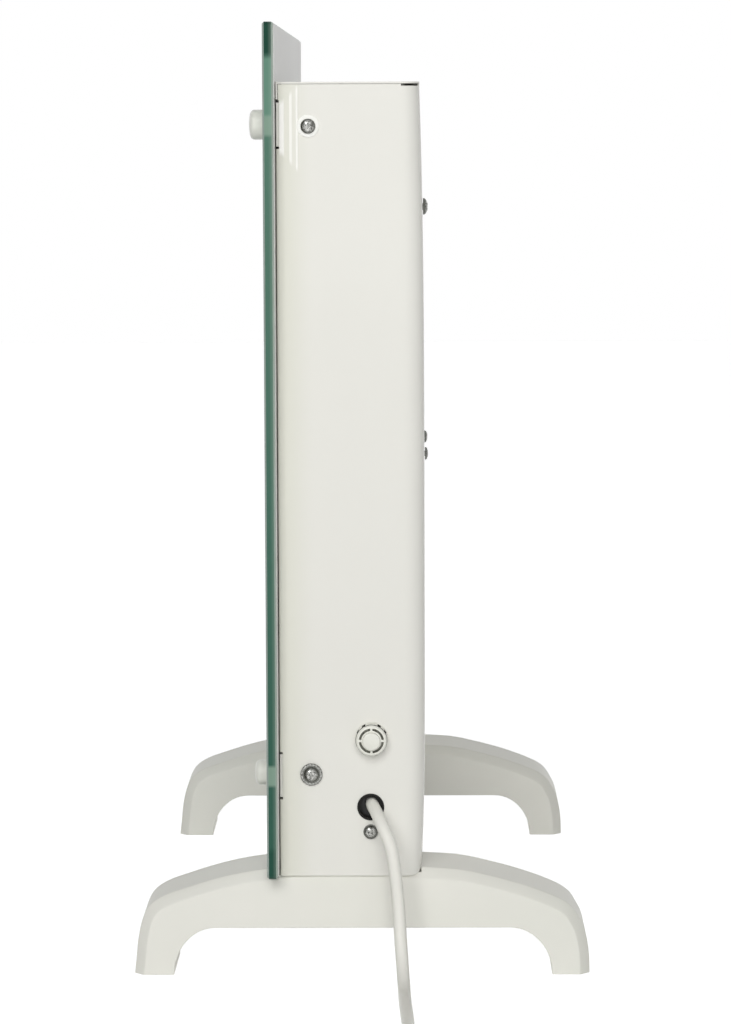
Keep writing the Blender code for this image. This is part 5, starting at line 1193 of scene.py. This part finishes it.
# The first grip ring's radius and place, what each next one adds, and the profile of one
GRIP_START = (0.0050, 0.0030)
GRIP_STEP = (0.0003, 0.0034)
GRIP_RING = ((-0.0008, 0), (-0.0008, 0.0010), (0, 0.0014), (0.0001, 0.0030))
PLUG_NECK = ((0, 0), (0.0044, 0), (0.0050, 0.0006), (0.0050, 0.0024))
PLUG_HEAD = (
    (0.0064, 0.0205), (0.0110, 0.025), (0.0142, 0.0296), (0.0160, 0.033), (0.0172, 0.0372), (0.0180, 0.041),
    (0.0184, 0.0440), (0.0185, 0.046), (0.0185, 0.0580), (0.0183, 0.0592), (0.0175, 0.060), (0, 0.060))
body = list(PLUG_NECK)
for i in range(GRIP_COUNT):
    radius, start = [first + more * i for first, more in zip(GRIP_START, GRIP_STEP)]
    body += [(radius + out, start + along) for out, along in GRIP_RING]
body += PLUG_HEAD
plug = turned_piece("moulded_plug", cord_white, (COIL_EXIT_X, PLUG_TAIL_Y, PLUG_AXIS_HEIGHT), (0, -1, 0),
                    body, sides=56, sharp=40)
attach(plug, "heater")
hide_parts("plug_body")
pin_brass = grained("pin_brass", (205, 190, 146), (188, 172, 130), 0.004, (0.20, 0.32), 0.0005, 0.000006,
                    metallic=1.0)
dress(pin_brass, "plug_pin_left", "plug_pin_right")
tie_black = grained("tie_weave", (46, 46, 48), (34, 34, 36), 0.002, (0.62, 0.78), 0.0005, 0.00005)
dress(tie_black, "cord_tie")


# The floor, the white room and the lamps
# A plain white floor and surround, both seen as pure white, with the
# heater's own soft shadow left on the floor. Broad suns from round it and
# one large lamp at its right side light it evenly.
FLOOR_HALF = 6
FLOOR_UNDER = -0.0002
FLOOR_GLOW = 0.80
ROOM_LIGHT = 0.12
# Where each sun comes from, its strength and how wide it is in degrees
SUNS = {"front": ((-0.8, -1.0, 0.03), 0.36, 44), "rear": ((-1.6, 1.0, 0.03), 0.50, 44),
        "far_side": ((-1.0, 0.1, 0.04), 0.22, 44), "near_side": ((1.0, 0.30, 0.10), 0.18, 40),
        "glint": ((1.0, -0.5, 0.75), 0.20, 14)}
KEY_PLACE = (3.5, -0.35, 1.6)
KEY_TARGET = (CASING_SIDE, 0, 0.27)
KEY_POWER = 79
KEY_SIZE = 2.1


def seen_as_white(tree, fallback):
    """A strength of one where the room is looked at or mirrored, and a fallback where it lights."""
    ray = step("ShaderNodeLightPath", {}, tree).outputs
    seen = sum_of("MAXIMUM", ray["Is Camera Ray"], ray["Is Glossy Ray"])
    seen = sum_of("MAXIMUM", seen, ray["Is Transmission Ray"])
    return ranged(seen, 0.0, 1.0, fallback)


def placed_lamp(name, kind, energy, place, target, glossy, diffuse=True):
    """Add a lamp that shines from a place towards a target."""
    lamp = bpy.data.lights.new(name, kind)
    lamp.energy = energy
    made = linked(name, lamp)
    made.location = place
    made.rotation_euler = (Vector(place) - Vector(target)).to_track_quat("Z", "Y").to_euler()
    made.visible_glossy = glossy
    made.visible_diffuse = diffuse
    return lamp


bm = bmesh.new()
bmesh.ops.create_grid(bm, x_segments=2, y_segments=2, size=FLOOR_HALF,
                      matrix=Matrix.Translation((0, 0, FLOOR_UNDER)))
floor_finish = new_finish("floor", {"Base Color": (0.80, 0.80, 0.80, 1), "Roughness": 0.9,
                                    "Specular IOR Level": 0.0})
tree = floor_finish.node_tree
strength = times(seen_as_white(tree, 0.0), FLOOR_GLOW)
glow = step("ShaderNodeEmission", {"Color": (1, 1, 1, 1), "Strength": strength})
both = step("ShaderNodeAddShader", {0: tree.nodes["Principled BSDF"].outputs[0], 1: glow.outputs[0]})
feed(both.outputs[0], tree.nodes["Material Output"].inputs["Surface"])
floor = piece("floor", bm, floor_finish)

world = bpy.data.worlds.new("room")
world.use_nodes = True
bpy.context.scene.world = world
room = world.node_tree.nodes["Background"]
room.inputs["Color"].default_value = (1, 1, 1, 1)
feed(seen_as_white(world.node_tree, ROOM_LIGHT), room.inputs["Strength"])
for name, (towards, strength, width) in SUNS.items():
    glint = name == "glint"
    lamp = placed_lamp(name, "SUN", strength * math.pi, Vector(towards) * 2, (0, 0, 0), glint, not glint)
    lamp.angle = math.radians(width)
placed_lamp("key", "AREA", KEY_POWER, KEY_PLACE, KEY_TARGET, False).size = KEY_SIZE
bpy.context.scene.view_settings.view_transform = "Standard"


# The camera
# A long lens 2.15 m out from the heater's right side, higher than its middle
# and tilted down a little.
CAMERA_PLACE = (2.39154, 0.03023, 0.47628)
CAMERA_PITCH = math.radians(5.746)
CAMERA_YAW = math.radians(-0.726)
CAMERA_ROLL = math.radians(-0.227)
FOCAL_LENGTH = 137.38
SENSOR_WIDTH = 36
VIEW_REACH = 50
reach = math.cos(CAMERA_PITCH)
ahead = Vector((-reach * math.cos(CAMERA_YAW), reach * math.sin(CAMERA_YAW), -math.sin(CAMERA_PITCH)))
across = Vector((math.sin(CAMERA_YAW), math.cos(CAMERA_YAW), 0))
above = across.cross(ahead)
lens = bpy.data.cameras.new("camera")
lens.lens = FOCAL_LENGTH
lens.sensor_width = SENSOR_WIDTH
lens.clip_end = VIEW_REACH
camera = linked("camera", lens)
turned = Matrix((across * math.cos(CAMERA_ROLL) + above * math.sin(CAMERA_ROLL),
                 above * math.cos(CAMERA_ROLL) - across * math.sin(CAMERA_ROLL), -ahead)).transposed()
camera.matrix_world = Matrix.Translation(CAMERA_PLACE) @ turned.to_4x4()
bpy.context.scene.camera = camera
